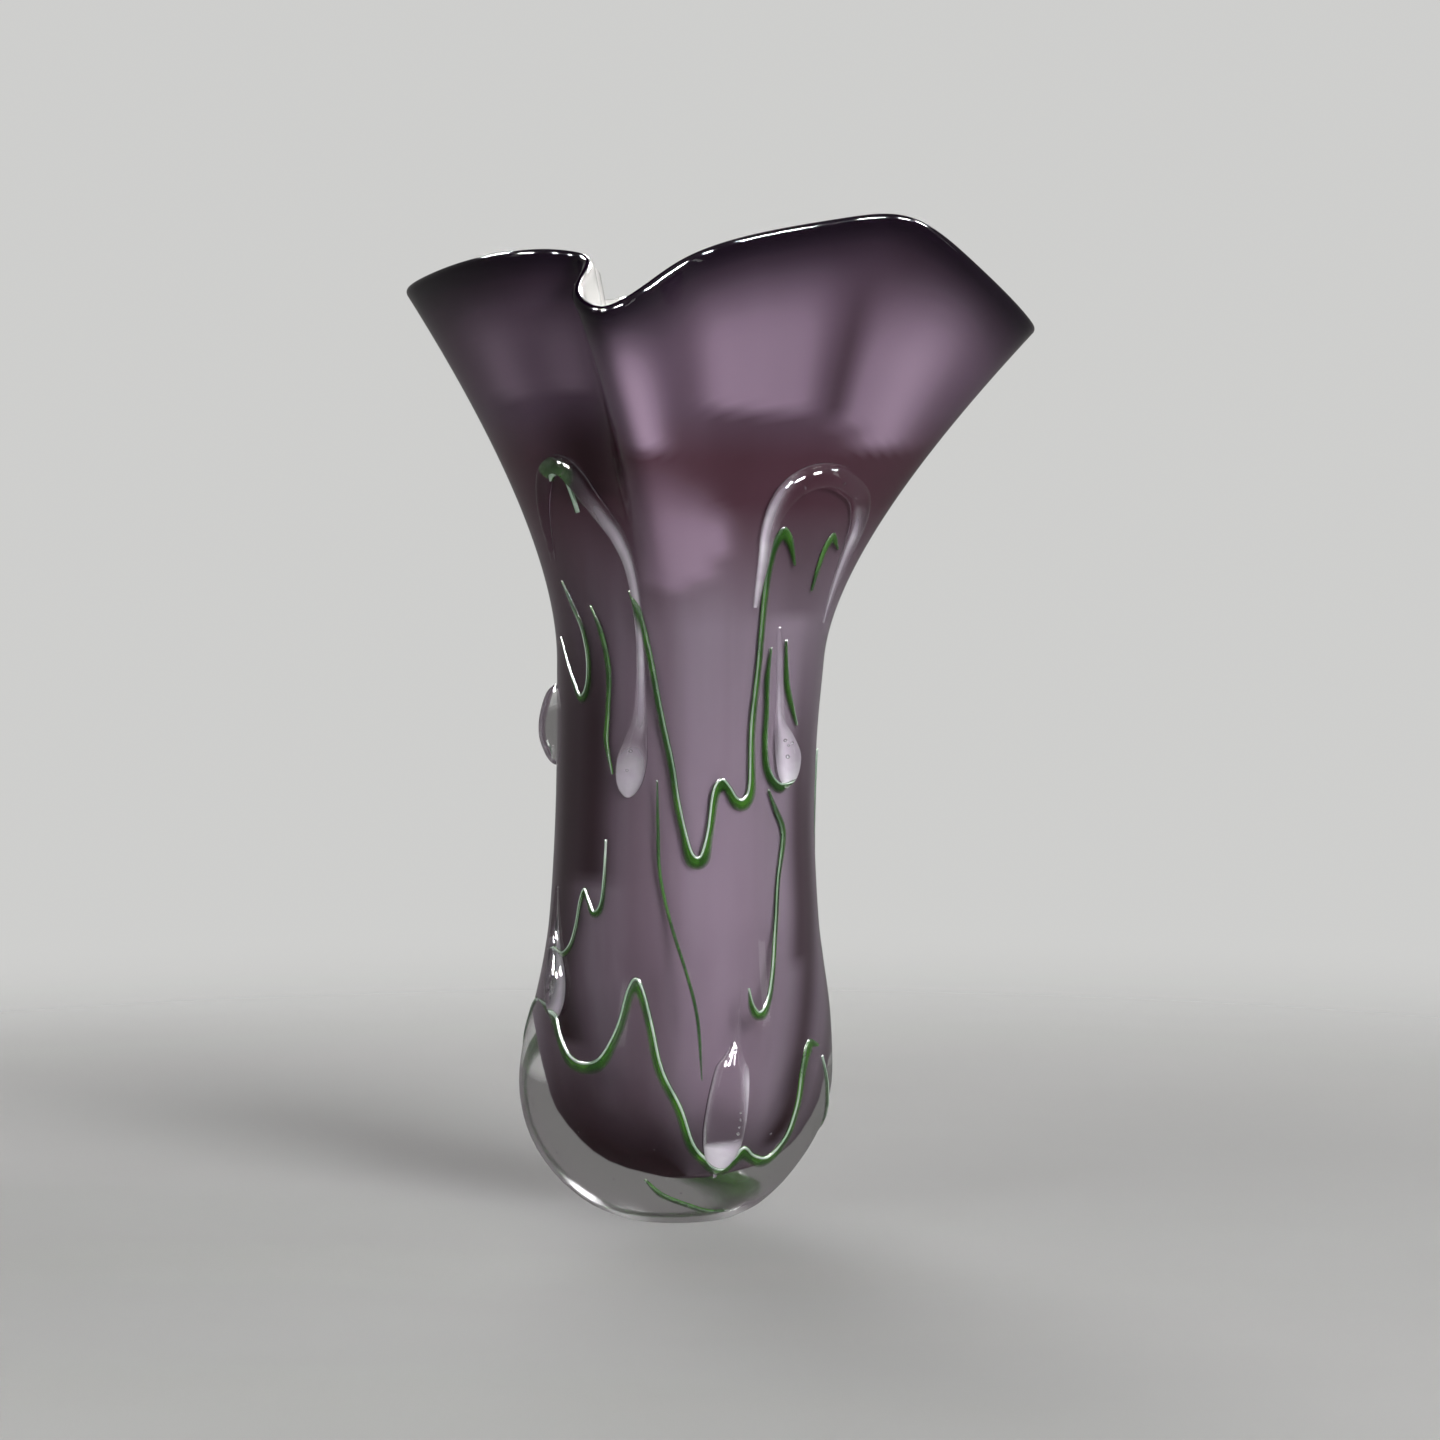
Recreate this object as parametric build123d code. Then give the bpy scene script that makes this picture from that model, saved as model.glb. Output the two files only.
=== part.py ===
"""Hand blown art glass vase: a cased body of three glass layers with a ruffled lip, and applied
clear trails and two-colour threads. Millimetres, +Z up, front towards -Y, origin at the centre
of the flat ground base."""

from build123d import *
import math
import os

# ---- driving dimensions ----------------------------------------------------------------------
NECK_HEIGHT = 200.0  # the flare starts here
CASING_WALL = 1.7  # clear outer gather, above the heavy foot
OVERLAY_WALL = 1.2  # amethyst layer
LINER_WALL = 1.5  # opal white inside layer
BOND_GAP = 0.05  # keeps neighbouring solids from sharing volume
LIP_ROUNDING = 0.012  # how far the lip's two outer edges stay back, as a share of the flare
LIP_LEAN = 0.043  # outward slope of the wall where the flare starts
BODY_LEAN = 0.046  # sideways slope of the whole body at the neck
FLARE_RISE = 0.345  # share of the flare's height that stays nearly upright

# The outside of the body as (height, radius, sideways shift of the centre).
BODY = [
    (0, 22.0, 0.0),
    (4, 30.5, -0.6),
    (11.5, 39.5, -1.2),
    (19, 45.8, -1.4),
    (27, 50.8, -1.2),
    (36, 54.4, -0.8),
    (48, 56.4, -0.3),
    (62, 55.7, 0.5),
    (77, 53.2, 2.0),
    (92, 50.5, 2.6),
    (107, 48.5, 2.8),
    (140, 46.7, 3.1),
    (172, 46.7, 3.9),
    (NECK_HEIGHT, 47.9, 5.2),
]

# The amethyst cup inside the clear casing. Below 110 mm the casing thickens into the heavy foot.
CUP = [
    (26.6, 6.0, 2.0),
    (30, 18.0, 2.0),
    (35, 25.6, 2.0),
    (42, 31.2, 2.0),
    (52, 34.5, 2.1),
    (65, 37.5, 2.3),
    (80, 41.0, 2.5),
    (97, 44.3, 2.7),
    (113, 46.3, 2.9),
    (140, 46.7 - CASING_WALL, 3.1),
    (172, 46.7 - CASING_WALL, 3.9),
    (NECK_HEIGHT, 47.9 - CASING_WALL, 5.2),
]

# Poles of the lip's spline, anticlockwise from the right tip, as (angle at the neck, x, y, z).
# The lip has four ruffles: a tip at each side, and a folded spout at the back and at the front.
LIP = [
    (0, 132, -12, 314),
    (15, 122, 30, 326),
    (32, 96, 58, 341),
    (48, 64, 71, 350),
    (66, 32, 73, 347),
    (80, 6, 84, 341),
    (90, -10, 100, 335.5),
    (99, -27, 106, 330.5),
    (108, -38, 96, 331),
    (117, -31, 74, 344),
    (128, -40, 60, 345),
    (143, -60, 55, 341),
    (160, -84, 38, 335),
    (178, -102, 4, 330),
    (196, -89, -30, 335),
    (212, -70, -57, 340),
    (226, -47, -66, 343),
    (238, -33, -64, 342),
    (247, -30, -76, 337),
    (254, -38, -92, 326),
    (262, -24, -108, 317),
    (271, -6, -92, 330),
    (282, 6, -70, 341),
    (296, 26, -66, 348),
    (312, 58, -68, 353),
    (326, 82, -72, 356),
    (340, 104, -57, 338),
    (351, 120, -38, 325),
]

# Heights of the lofted rings as shares of the body's height, then as shares of the flare.
BODY_STEPS = [0, 0.0075, 0.02, 0.038, 0.06, 0.09, 0.13, 0.17, 0.21, 0.26, 0.31, 0.36, 0.42]
BODY_STEPS += [0.48, 0.55, 0.62, 0.7, 0.78, 0.86, 0.94, 1]
FLARE_STEPS = [0.08, 0.17, 0.26, 0.35, 0.44, 0.53, 0.62, 0.7, 0.78, 0.85, 0.91, 0.96, 1]
RING_POINTS = 3 * len(LIP)

# Applied clear glass, as (angle, height, width, rise above the casing).
TRAILS = {
    "left_arch_trail": [
        (204, 236, 2.5, 1.0),
        (206, 250, 5.0, 2.5),
        (210, 261, 6.5, 3.5),
        (214.5, 268, 7.0, 4.5),
        (220, 269.5, 7.5, 4.5),
        (225, 265, 7.5, 4.5),
        (230, 258, 7.0, 4.0),
        (236, 251, 6.5, 3.5),
        (242, 244, 6.0, 3.0),
        (246.5, 234, 4.5, 2.5),
        (248.5, 219, 3.5, 2.0),
        (249, 205, 3.2, 1.8),
        (249.5, 192, 3.6, 2.0),
        (249.5, 181, 5.5, 3.0),
        (248.2, 174, 8.5, 4.8),
        (246.8, 167, 11.0, 6.0),
        (245.8, 161, 10.5, 5.6),
        (245.2, 157, 8.0, 4.2),
        (245, 154.6, 4.5, 2.2),
        (245, 153.6, 1.5, 0.8),
    ],
    "right_arch_trail": [
        (297, 220, 2.5, 1.0),
        (299.5, 236, 4.0, 2.5),
        (301, 246, 5.5, 3.5),
        (304, 254.5, 7.5, 4.5),
        (308.5, 261, 8.5, 5.0),
        (315, 265, 9.0, 5.5),
        (323, 266, 9.0, 5.5),
        (331, 263.5, 9.0, 5.5),
        (338, 258.5, 8.5, 5.0),
        (342, 250, 7.0, 4.0),
        (342.5, 241, 5.5, 3.0),
        (342, 230, 4.0, 2.0),
        (341, 214, 2.0, 1.0),
    ],
    "right_drop_trail": [
        (309, 213, 1.5, 0.8),
        (310.5, 202, 2.5, 1.5),
        (312, 190, 3.0, 2.0),
        (313.5, 180, 4.0, 2.5),
        (316, 174, 8.0, 4.5),
        (318.5, 168, 10.5, 6.0),
        (319.5, 162.5, 9.5, 5.2),
        (320, 159, 7.0, 3.6),
        (320, 157, 3.5, 1.8),
        (320, 156, 1.5, 0.8),
    ],
    "side_bead": [
        (182, 191, 2.0, 1.2),
        (181.5, 188.5, 5.5, 3.6),
        (181, 184, 8.0, 5.4),
        (180, 178, 9.5, 6.6),
        (180, 172, 9.5, 6.4),
        (181, 167, 7.5, 4.6),
        (181.5, 164, 5.0, 2.8),
        (182, 162.5, 2.0, 1.0),
    ],
    "low_left_drop": [
        (199, 120, 1.5, 0.8),
        (201, 110, 3.0, 1.8),
        (204, 101, 5.0, 3.0),
        (208, 94, 7.5, 4.4),
        (211.5, 87, 9.5, 5.5),
        (213.5, 81, 9.0, 5.0),
        (214, 77, 6.5, 3.4),
        (214, 74.8, 3.5, 1.6),
        (214, 73.8, 1.5, 0.8),
    ],
    "base_drop": [
        (294, 92, 2.0, 1.0),
        (293.5, 84, 3.0, 1.8),
        (292.5, 75, 5.5, 3.0),
        (291.5, 66, 9.5, 4.2),
        (290.5, 57, 13.5, 5.0),
        (289.5, 47, 15.5, 5.8),
        (289, 37, 15.5, 6.0),
        (289, 30, 12.5, 5.0),
        (289, 25.5, 8.0, 3.2),
        (289, 23, 3.5, 1.5),
        (289, 22, 1.5, 0.8),
    ],
    "back_right_arch_trail": [
        (24, 218, 2.5, 1.0),
        (26, 236, 5.0, 3.0),
        (30, 252, 7.5, 4.5),
        (38, 262, 9.0, 5.5),
        (48, 263, 9.0, 5.5),
        (56, 254, 7.5, 4.5),
        (59, 238, 5.5, 3.0),
        (60, 218, 2.5, 1.0),
    ],
    "back_left_arch_trail": [
        (126, 212, 2.5, 1.0),
        (129, 232, 5.0, 3.0),
        (134, 250, 7.5, 4.5),
        (142, 260, 8.5, 5.0),
        (152, 258, 8.5, 5.0),
        (159, 245, 6.5, 3.5),
        (162, 226, 4.5, 2.0),
        (163, 206, 2.0, 1.0),
    ],
    "back_drop_trail": [
        (88, 216, 1.5, 0.8),
        (89, 200, 3.0, 2.0),
        (90, 186, 4.5, 2.5),
        (91, 175, 9.0, 5.0),
        (92, 168, 11.0, 6.0),
        (92, 162, 9.5, 5.0),
        (92, 158, 6.5, 3.2),
        (92, 156, 3.0, 1.5),
        (92, 155, 1.5, 0.8),
    ],
    "back_low_drop": [
        (40, 106, 1.5, 0.8),
        (39, 96, 3.5, 2.0),
        (38, 85, 7.0, 4.0),
        (37, 76, 10.0, 5.5),
        (37, 70, 9.0, 4.8),
        (37, 65, 6.0, 3.0),
        (37, 62.5, 3.0, 1.5),
        (37, 61.5, 1.5, 0.8),
    ],
}

# Threads as (green width, white width, route), where a route is a list of (angle, height).
# The white strand lies on the route and the green band lies to the right of its travel.
THREADS = {
    "left_hook": (
        2.6,
        1.8,
        [(223.5, 253), (222, 260), (220.5, 265.5), (217.5, 267.5), (215, 267), (214, 264.5)],
    ),
    "left_hairpin": (
        1.4,
        0.8,
        [
            (199, 208.5),
            (205.5, 200.5),
            (211.5, 194),
            (217, 188.5),
            (221, 192.5),
            (221.5, 201),
            (218.5, 211.5),
            (212.5, 220.5),
            (208, 229),
        ],
    ),
    "left_drop": (
        1.6,
        0.6,
        [(224.5, 220.5), (230.5, 211), (234.5, 198), (234.5, 185), (234, 173), (237, 161.5)],
    ),
    "long_v": (
        2.0,
        0.9,
        [
            (244.5, 226),
            (249.5, 218),
            (253.5, 204),
            (259.5, 182.5),
            (264.5, 166.5),
            (267.5, 153),
            (271, 141),
            (274, 134),
            (277.5, 133.5),
            (280.5, 142.5),
            (282.5, 156),
            (286, 160),
            (289.5, 157.5),
            (293, 153.5),
            (296.5, 153),
            (299, 158.5),
            (298.5, 178.5),
            (299.5, 198),
            (300.5, 222.5),
            (302, 236.5),
            (304.5, 244),
            (307.5, 247.5),
            (311, 243.5),
            (313.5, 234.5),
        ],
    ),
    "right_u": (
        1.8,
        0.6,
        [(325.5, 225.5), (326.5, 234.5), (328.5, 242), (332, 245.5), (336.5, 240)],
    ),
    "right_drop": (
        1.8,
        0.9,
        [
            (305.5, 206),
            (305.5, 195),
            (306.5, 184),
            (307, 171.5),
            (309.5, 162.5),
            (316.5, 157.5),
            (325, 160.5),
        ],
    ),
    "right_inner": (2.0, 0.6, [(313.5, 208.5), (317, 194), (321.5, 185), (325.5, 178)]),
    "right_low": (
        1.6,
        0.8,
        [
            (297, 87),
            (298.5, 81.5),
            (301.5, 78.5),
            (305, 82.5),
            (308, 91),
            (311.5, 107.5),
            (314, 124),
            (317.5, 139.5),
            (313, 148.5),
            (309, 156),
        ],
    ),
    "left_low": (
        1.3,
        0.9,
        [
            (203.5, 97.5),
            (210.5, 97),
            (216, 100.5),
            (218.8, 107.5),
            (220.5, 116),
            (223, 120.5),
            (225.8, 117),
            (229.4, 113),
            (232.8, 116),
            (234, 125),
            (234.5, 138.5),
        ],
    ),
    "centre_faint": (
        1.0,
        0.5,
        [
            (258, 160),
            (259, 146),
            (260.5, 127),
            (265.5, 109.5),
            (271.5, 94),
            (275.5, 82),
            (278, 70),
            (279.5, 56),
        ],
    ),
    "foot_wave": (
        2.4,
        1.1,
        [
            (198, 79),
            (207.5, 78),
            (214, 76),
            (220.5, 69),
            (228, 62.5),
            (235, 60.5),
            (241.5, 63),
            (246, 73),
            (248.5, 86),
            (251.5, 90.5),
            (255, 86),
            (260, 73.5),
            (265.5, 59),
            (272.5, 46.5),
            (277.5, 34),
            (283, 28),
            (290, 24.5),
            (295, 27),
            (298.5, 31),
            (304.5, 27.5),
            (312, 26.5),
            (317.5, 33),
            (320, 43.5),
            (322, 56.5),
            (326.5, 66),
            (334, 64),
        ],
    ),
    "foot_end": (2.0, 0.9, [(258.5, 19.5), (265.5, 14), (276.5, 10), (290.5, 6.5), (303, 5.5)]),
    "back_wave": (
        2.4,
        1.1,
        [
            (337, 60),
            (346, 46),
            (356, 36),
            (366, 34),
            (376, 44),
            (386, 68),
            (394, 86),
            (401, 88),
            (408, 74),
            (418, 52),
            (430, 38),
            (444, 34),
            (456, 42),
            (466, 62),
            (475, 78),
            (484, 74),
            (494, 54),
            (506, 40),
            (518, 42),
            (530, 58),
            (542, 74),
            (552, 79),
        ],
    ),
    "back_long_v": (
        2.0,
        0.9,
        [
            (52, 224),
            (55, 200),
            (60, 172),
            (65, 148),
            (70, 136),
            (75, 140),
            (79, 158),
            (84, 160),
            (90, 150),
            (97, 150),
            (102, 166),
            (106, 194),
            (110, 222),
        ],
    ),
    "back_right_v": (
        1.6,
        0.8,
        [(2, 168), (7, 140), (12, 120), (18, 112), (24, 118), (28, 140), (31, 164)],
    ),
    "back_left_v": (
        1.6,
        0.8,
        [(136, 180), (141, 150), (146, 128), (152, 118), (158, 124), (162, 146), (166, 172)],
    ),
}
THREAD_RISE = 0.6  # of a green band above the casing
CORE_RISE = 0.8  # of a white strand above the casing
SECTIONS_PER_SPAN = 3
CROWN_FACES = 6  # around a strand's half-round top
TIP_SECTIONS = 3  # over which a thread narrows to its pointed ends
THINNEST_BAND = 0.2  # of a green band on the inside of a tight turn
TURN_SHARE = 0.65  # of a turn's radius that a green band may fill

# Distances over which the slopes of the surfaces are measured.
STEP_REACH = 0.004  # steps up the wall
TURN_REACH = 0.02  # turns round the lip
GLASS_REACH = 0.5  # degrees round the casing, and millimetres up it
FLARE_FOOT = 1.0001  # the step just above the neck, where the flare's own curve starts
HALVINGS = 36  # to find the lip's turn over an angle


# ---- the wall's surfaces ---------------------------------------------------------------------
def smooth(table, height):
    """Smooth values between the rows of a table, whose first column is a height."""
    last = len(table) - 1
    row = 0
    while row < last - 1 and height > table[row + 1][0]:
        row += 1
    step = table[row + 1][0] - table[row][0]
    u = (height - table[row][0]) / step
    values = []
    for column in range(1, len(table[0])):
        slopes = []
        for end in (row, row + 1):
            low, high = max(end - 1, 0), min(end + 1, last)
            rise = table[high][column] - table[low][column]
            slopes.append(step * rise / (table[high][0] - table[low][0]))
        start, finish = table[row][column], table[row + 1][column]
        values.append(
            (2 * u**3 - 3 * u**2 + 1) * start
            + (u**3 - 2 * u**2 + u) * slopes[0]
            + (3 * u**2 - 2 * u**3) * finish
            + (u**3 - u**2) * slopes[1]
        )
    return values


def lip_at(turn):
    """(angle at the neck, lip point) on the lip's spline; turn counts poles around the lip."""
    first = math.floor(turn)
    u = turn - first
    weights = (
        (1 - u) ** 3 / 6,
        (3 * u**3 - 6 * u**2 + 4) / 6,
        (-3 * u**3 + 3 * u**2 + 3 * u + 1) / 6,
        u**3 / 6,
    )
    angle, point = 0.0, Vector()
    for offset, weight in enumerate(weights):
        turns, pole = divmod(first - 1 + offset, len(LIP))
        pole_angle, x, y, z = LIP[pole]
        angle += weight * (pole_angle + 360 * turns)
        point += Vector(x, y, z) * weight
    return angle, point


def turn_at(angle):
    """The lip's turn that stands over an angle at the neck, by halving."""
    low, high = -2, 2 * len(LIP)
    for _ in range(HALVINGS):
        middle = (low + high) / 2
        if lip_at(middle)[0] < angle:
            low = middle
        else:
            high = middle
    return low


def ring_point(profile, angle, height):
    radius, shift = smooth(profile, height)
    around = math.radians(angle)
    return Vector(shift + radius * math.cos(around), radius * math.sin(around), height)


def flare_poles(angle, lip):
    """The three poles of the flare's outside curve, from the neck to the lip."""
    neck = ring_point(BODY, angle, NECK_HEIGHT)
    rise = FLARE_RISE * (lip.Z - NECK_HEIGHT)
    around = math.radians(angle)
    lean = Vector(math.cos(around), math.sin(around), 0) * LIP_LEAN + Vector(BODY_LEAN, 0, 1)
    return neck, neck + lean * rise, lip


def flare_point(turn, share):
    neck, bend, lip = flare_poles(*lip_at(turn))
    return neck * (1 - share) ** 2 + bend * (2 * share * (1 - share)) + lip * share**2


def outside(turn, step):
    """The vase's outside: step runs 0 to 1 up the body, then 1 to 2 up the flare."""
    if step > 1:
        return flare_point(turn, step - 1)
    return ring_point(BODY, lip_at(turn)[0], NECK_HEIGHT * step)


def cup_outside(turn, step):
    """The boundary between the clear casing and the amethyst layer."""
    if step > 1:
        return inset(outside, turn, step, CASING_WALL)
    bottom = CUP[0][0]
    return ring_point(CUP, lip_at(turn)[0], bottom + (NECK_HEIGHT - bottom) * step)


def inset(surface, turn, step, depth):
    """A surface's point moved into the glass by a depth."""
    low, high = max(step - STEP_REACH, 0), min(step + STEP_REACH, 2)
    if step <= 1:
        high = min(high, 1)
    else:
        low = max(low, FLARE_FOOT)
    along = surface(turn + TURN_REACH, step) - surface(turn - TURN_REACH, step)
    upward = surface(turn, high) - surface(turn, low)
    return surface(turn, step) - along.cross(upward).normalized() * depth


def layer_surface(depth):
    """The surface that lies a depth inside the boundary of casing and amethyst."""

    def surface(turn, step):
        return inset(cup_outside, turn, step, depth)

    return surface


# ---- solids ----------------------------------------------------------------------------------
def ring_wire(surface, step):
    turns = [len(LIP) * i / RING_POINTS for i in range(RING_POINTS)]
    points = [surface(turn, step) for turn in turns]
    knots = [float(i) for i in range(RING_POINTS + 1)]
    return Wire([Edge.make_spline(points, periodic=True, parameters=knots)])


def lofted_wall(surface, lip_setback):
    steps = BODY_STEPS + [1 + share for share in FLARE_STEPS[:-1]] + [2 - lip_setback]
    wires = [ring_wire(surface, step) for step in steps]
    return wires, Shell.make_loft(wires)


def glass_layer(outer_surface, outer_setback, inner_surface, inner_setback):
    """A cup of glass between two surfaces, closed by two discs below and a strip at the lip."""
    outer_wires, outer = lofted_wall(outer_surface, outer_setback)
    inner_wires, inner = lofted_wall(inner_surface, inner_setback)
    strip = Face.make_surface_from_curves(outer_wires[-1].edge(), inner_wires[-1].edge())
    discs = [Face(outer_wires[0]), Face(inner_wires[0])]
    return Solid(Shell(outer.faces() + inner.faces() + [strip] + discs))


def on_casing(angle, height):
    """The outside point over an angle at the neck, at a height."""
    if height <= NECK_HEIGHT:
        return ring_point(BODY, angle, height)
    neck, bend, lip = flare_poles(*lip_at(turn_at(angle)))
    curve = neck.Z - 2 * bend.Z + lip.Z
    slope = bend.Z - neck.Z
    share = (math.sqrt(slope**2 + curve * (height - neck.Z)) - slope) / curve
    return neck * (1 - share) ** 2 + bend * (2 * share * (1 - share)) + lip * share**2


def between(rows, row, u):
    """A point on the smooth curve through a list of rows, from one row to the next."""
    last = len(rows) - 1
    picked = [rows[min(max(row + i, 0), last)] for i in (-1, 0, 1, 2)]
    point = []
    for a, b, c, d in zip(*picked):
        bend = a - 2.5 * b + 2 * c - d / 2
        point.append(b + u * (c - a) / 2 + u**2 * bend + u**3 * (1.5 * (b - c) + (d - a) / 2))
    return point


def filled_in(rows):
    """The rows of a route with smooth rows added between them."""
    filled = []
    for row in range(len(rows) - 1):
        filled += [between(rows, row, i / SECTIONS_PER_SPAN) for i in range(SECTIONS_PER_SPAN)]
    return filled + [list(rows[-1])]


def glass_frame(angle, height):
    """The outside's slopes by angle and by height, and its outward normal."""
    by_angle = on_casing(angle + GLASS_REACH, height) - on_casing(angle - GLASS_REACH, height)
    by_height = on_casing(angle, height + GLASS_REACH) - on_casing(angle, height - GLASS_REACH)
    return by_angle, by_height, by_angle.cross(by_height).normalized()


def beside(row, travel, sideways, lift):
    """A point beside a route's row: sideways to the left of the travel, and lifted off the casing."""
    angle, height = row[:2]
    by_angle, by_height, normal = glass_frame(angle, height)
    across = normal.cross(travel).normalized() * sideways
    skew = by_angle.dot(by_height)
    area = by_angle.dot(by_angle) * by_height.dot(by_height) - skew**2
    turn = across.dot(by_angle * by_height.dot(by_height) - by_height * skew) / area
    climb = across.dot(by_height * by_angle.dot(by_angle) - by_angle * skew) / area
    return on_casing(angle + turn, height + climb) + normal * (lift + BOND_GAP)


def rail(rows, travels, sideways, lift):
    """A long edge of a strand: sideways and lift are shares of its half width and its rise."""
    points = []
    for row, travel in zip(rows, travels):
        width, rise, shift = row[2:]
        points.append(beside(row, travel, shift + width / 2 * sideways, rise * lift))
    for end, near in ((0, 1), (-1, -2)):
        points[end] = beside(rows[end], travels[end], rows[end][4], rows[near][3] / 4)
    return Edge.make_spline(points, parameters=[float(i) for i in range(len(points))])


def travels_of(rows):
    """The direction of travel at each row of a route."""
    places = [on_casing(*row[:2]) for row in rows]
    travels = [places[1] - places[0]]
    travels += [after - before for before, after in zip(places, places[2:])]
    return travels + [places[-1] - places[-2]]


def strand(rows):
    """A strand of glass lying on the casing, with a half-round crown and both ends pointed."""
    travels = travels_of(rows)
    crown = [math.pi * i / CROWN_FACES for i in range(CROWN_FACES + 1)]
    rails = [rail(rows, travels, math.cos(a), math.sin(a)) for a in crown]
    rails.append(rail(rows, travels, 0, 0))
    faces = [Face.make_surface_from_curves(a, b) for a, b in zip(rails, rails[1:] + rails[:1])]
    return Solid(Shell(faces))


def trail(rows):
    return strand(filled_in([(a, h, width, rise, 0.0) for a, h, width, rise in rows]))


def narrowed(rows):
    """The rows of a thread with its two ends drawn thin."""
    last = len(rows) - 1
    thin = []
    for i, (angle, height, width, rise, shift) in enumerate(rows):
        share = math.sqrt(min(1, max(min(i, last - i), 1) / TIP_SECTIONS))
        inner = shift + width / 2
        thin.append((angle, height, width * share, rise, inner - width * share / 2))
    return thin


def kept_clear(rows, inner):
    """The rows of a green band made narrow inside tight turns to the right, where it would
    cross itself. Inner is the distance from the route to the band's near edge."""
    places = [on_casing(*row[:2]) for row in rows]
    travels = travels_of(rows)
    widths = [row[2] for row in rows]
    for i in range(len(rows) - 1):
        before, after = travels[i], travels[i + 1]
        normal = glass_frame(*rows[i][:2])[2]
        turn = math.atan2(-normal.dot(before.cross(after)), before.dot(after))
        if turn > 0:
            radius = (places[i + 1] - places[i]).length / turn
            room = max(radius * TURN_SHARE - inner, THINNEST_BAND)
            widths[i] = min(widths[i], room)
            widths[i + 1] = min(widths[i + 1], room)
    return [(*row[:2], width, row[3], -inner - width / 2) for row, width in zip(rows, widths)]


def thread_pair(green_width, white_width, route):
    """The green band and the white strand that lies along its inner edge."""
    inner = white_width / 2 + BOND_GAP
    shift = -inner - green_width / 2
    green = filled_in([(a, h, green_width, THREAD_RISE, shift) for a, h in route])
    white = filled_in([(a, h, white_width, CORE_RISE, 0.0) for a, h in route])
    return strand(kept_clear(narrowed(green), inner)), strand(narrowed(white))


def main():
    overlay_outside = layer_surface(BOND_GAP)
    overlay_inside = layer_surface(OVERLAY_WALL)
    liner_outside = layer_surface(OVERLAY_WALL + BOND_GAP)
    liner_inside = layer_surface(OVERLAY_WALL + LINER_WALL)
    pieces = {
        "clear_casing": glass_layer(outside, LIP_ROUNDING, cup_outside, 0),
        "amethyst_overlay": glass_layer(overlay_outside, 0, overlay_inside, 0),
        "opal_liner": glass_layer(liner_outside, 0, liner_inside, LIP_ROUNDING),
    }
    for name, rows in TRAILS.items():
        pieces[name] = trail(rows)
    for name, (green_width, white_width, route) in THREADS.items():
        green, white = thread_pair(green_width, white_width, route)
        pieces[name + "_green_thread"] = green
        pieces[name + "_white_core"] = white

    os.makedirs("parts", exist_ok=True)
    for name, solid in pieces.items():
        solid.label = name
        export_step(solid, f"parts/{name}.step")
        print(name, "valid" if solid.is_valid else "NOT VALID", round(solid.volume))


main()
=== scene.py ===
"""Looks of the hand blown art glass vase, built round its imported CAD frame. The tables below are in
millimetres and degrees, as in the CAD source, and every mesh is made in metres."""

import bpy
import math
import numpy as np
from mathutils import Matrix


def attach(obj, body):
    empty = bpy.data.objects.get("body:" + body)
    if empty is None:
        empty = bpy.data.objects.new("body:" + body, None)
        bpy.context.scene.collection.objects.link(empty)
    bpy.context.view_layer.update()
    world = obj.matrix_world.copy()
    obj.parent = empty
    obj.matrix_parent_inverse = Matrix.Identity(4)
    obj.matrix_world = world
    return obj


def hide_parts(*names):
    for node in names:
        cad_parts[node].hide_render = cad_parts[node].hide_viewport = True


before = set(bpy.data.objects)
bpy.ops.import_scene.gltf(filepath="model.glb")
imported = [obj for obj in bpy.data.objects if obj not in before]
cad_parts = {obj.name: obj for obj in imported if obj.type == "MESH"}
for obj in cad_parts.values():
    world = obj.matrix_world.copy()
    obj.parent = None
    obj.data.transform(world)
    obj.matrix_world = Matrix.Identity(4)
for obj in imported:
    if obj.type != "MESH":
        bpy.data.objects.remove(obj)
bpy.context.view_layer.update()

MM = 0.001
NECK_HEIGHT = 200.0
CASING_WALL = 1.7
OVERLAY_WALL = 1.2
LINER_WALL = 1.5
WALL = CASING_WALL + OVERLAY_WALL + LINER_WALL
BOND_GAP = 0.05
SKIN = 0.03  # the outside of the wall lies this far inside the CAD surface
LIP_LEAN = 0.043
BODY_LEAN = 0.046
FLARE_RISE = 0.345
RING_POINTS = 448

# The outside of the body as (height, radius, sideways shift of the centre).
BODY = [
    (0, 22.0, 0.0),
    (4, 30.5, -0.6),
    (11.5, 39.5, -1.2),
    (19, 45.8, -1.4),
    (27, 50.8, -1.2),
    (36, 54.4, -0.8),
    (48, 56.4, -0.3),
    (62, 55.7, 0.5),
    (77, 53.2, 2.0),
    (92, 50.5, 2.6),
    (107, 48.5, 2.8),
    (140, 46.7, 3.1),
    (172, 46.7, 3.9),
    (NECK_HEIGHT, 47.9, 5.2),
]

# The amethyst cup inside the clear casing. Below 110 mm the casing thickens into the heavy foot.
CUP = [
    (26.6, 6.0, 2.0),
    (30, 18.0, 2.0),
    (35, 25.6, 2.0),
    (42, 31.2, 2.0),
    (52, 34.5, 2.1),
    (65, 37.5, 2.3),
    (80, 41.0, 2.5),
    (97, 44.3, 2.7),
    (113, 46.3, 2.9),
    (140, 46.7 - CASING_WALL, 3.1),
    (172, 46.7 - CASING_WALL, 3.9),
    (NECK_HEIGHT, 47.9 - CASING_WALL, 5.2),
]

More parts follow.
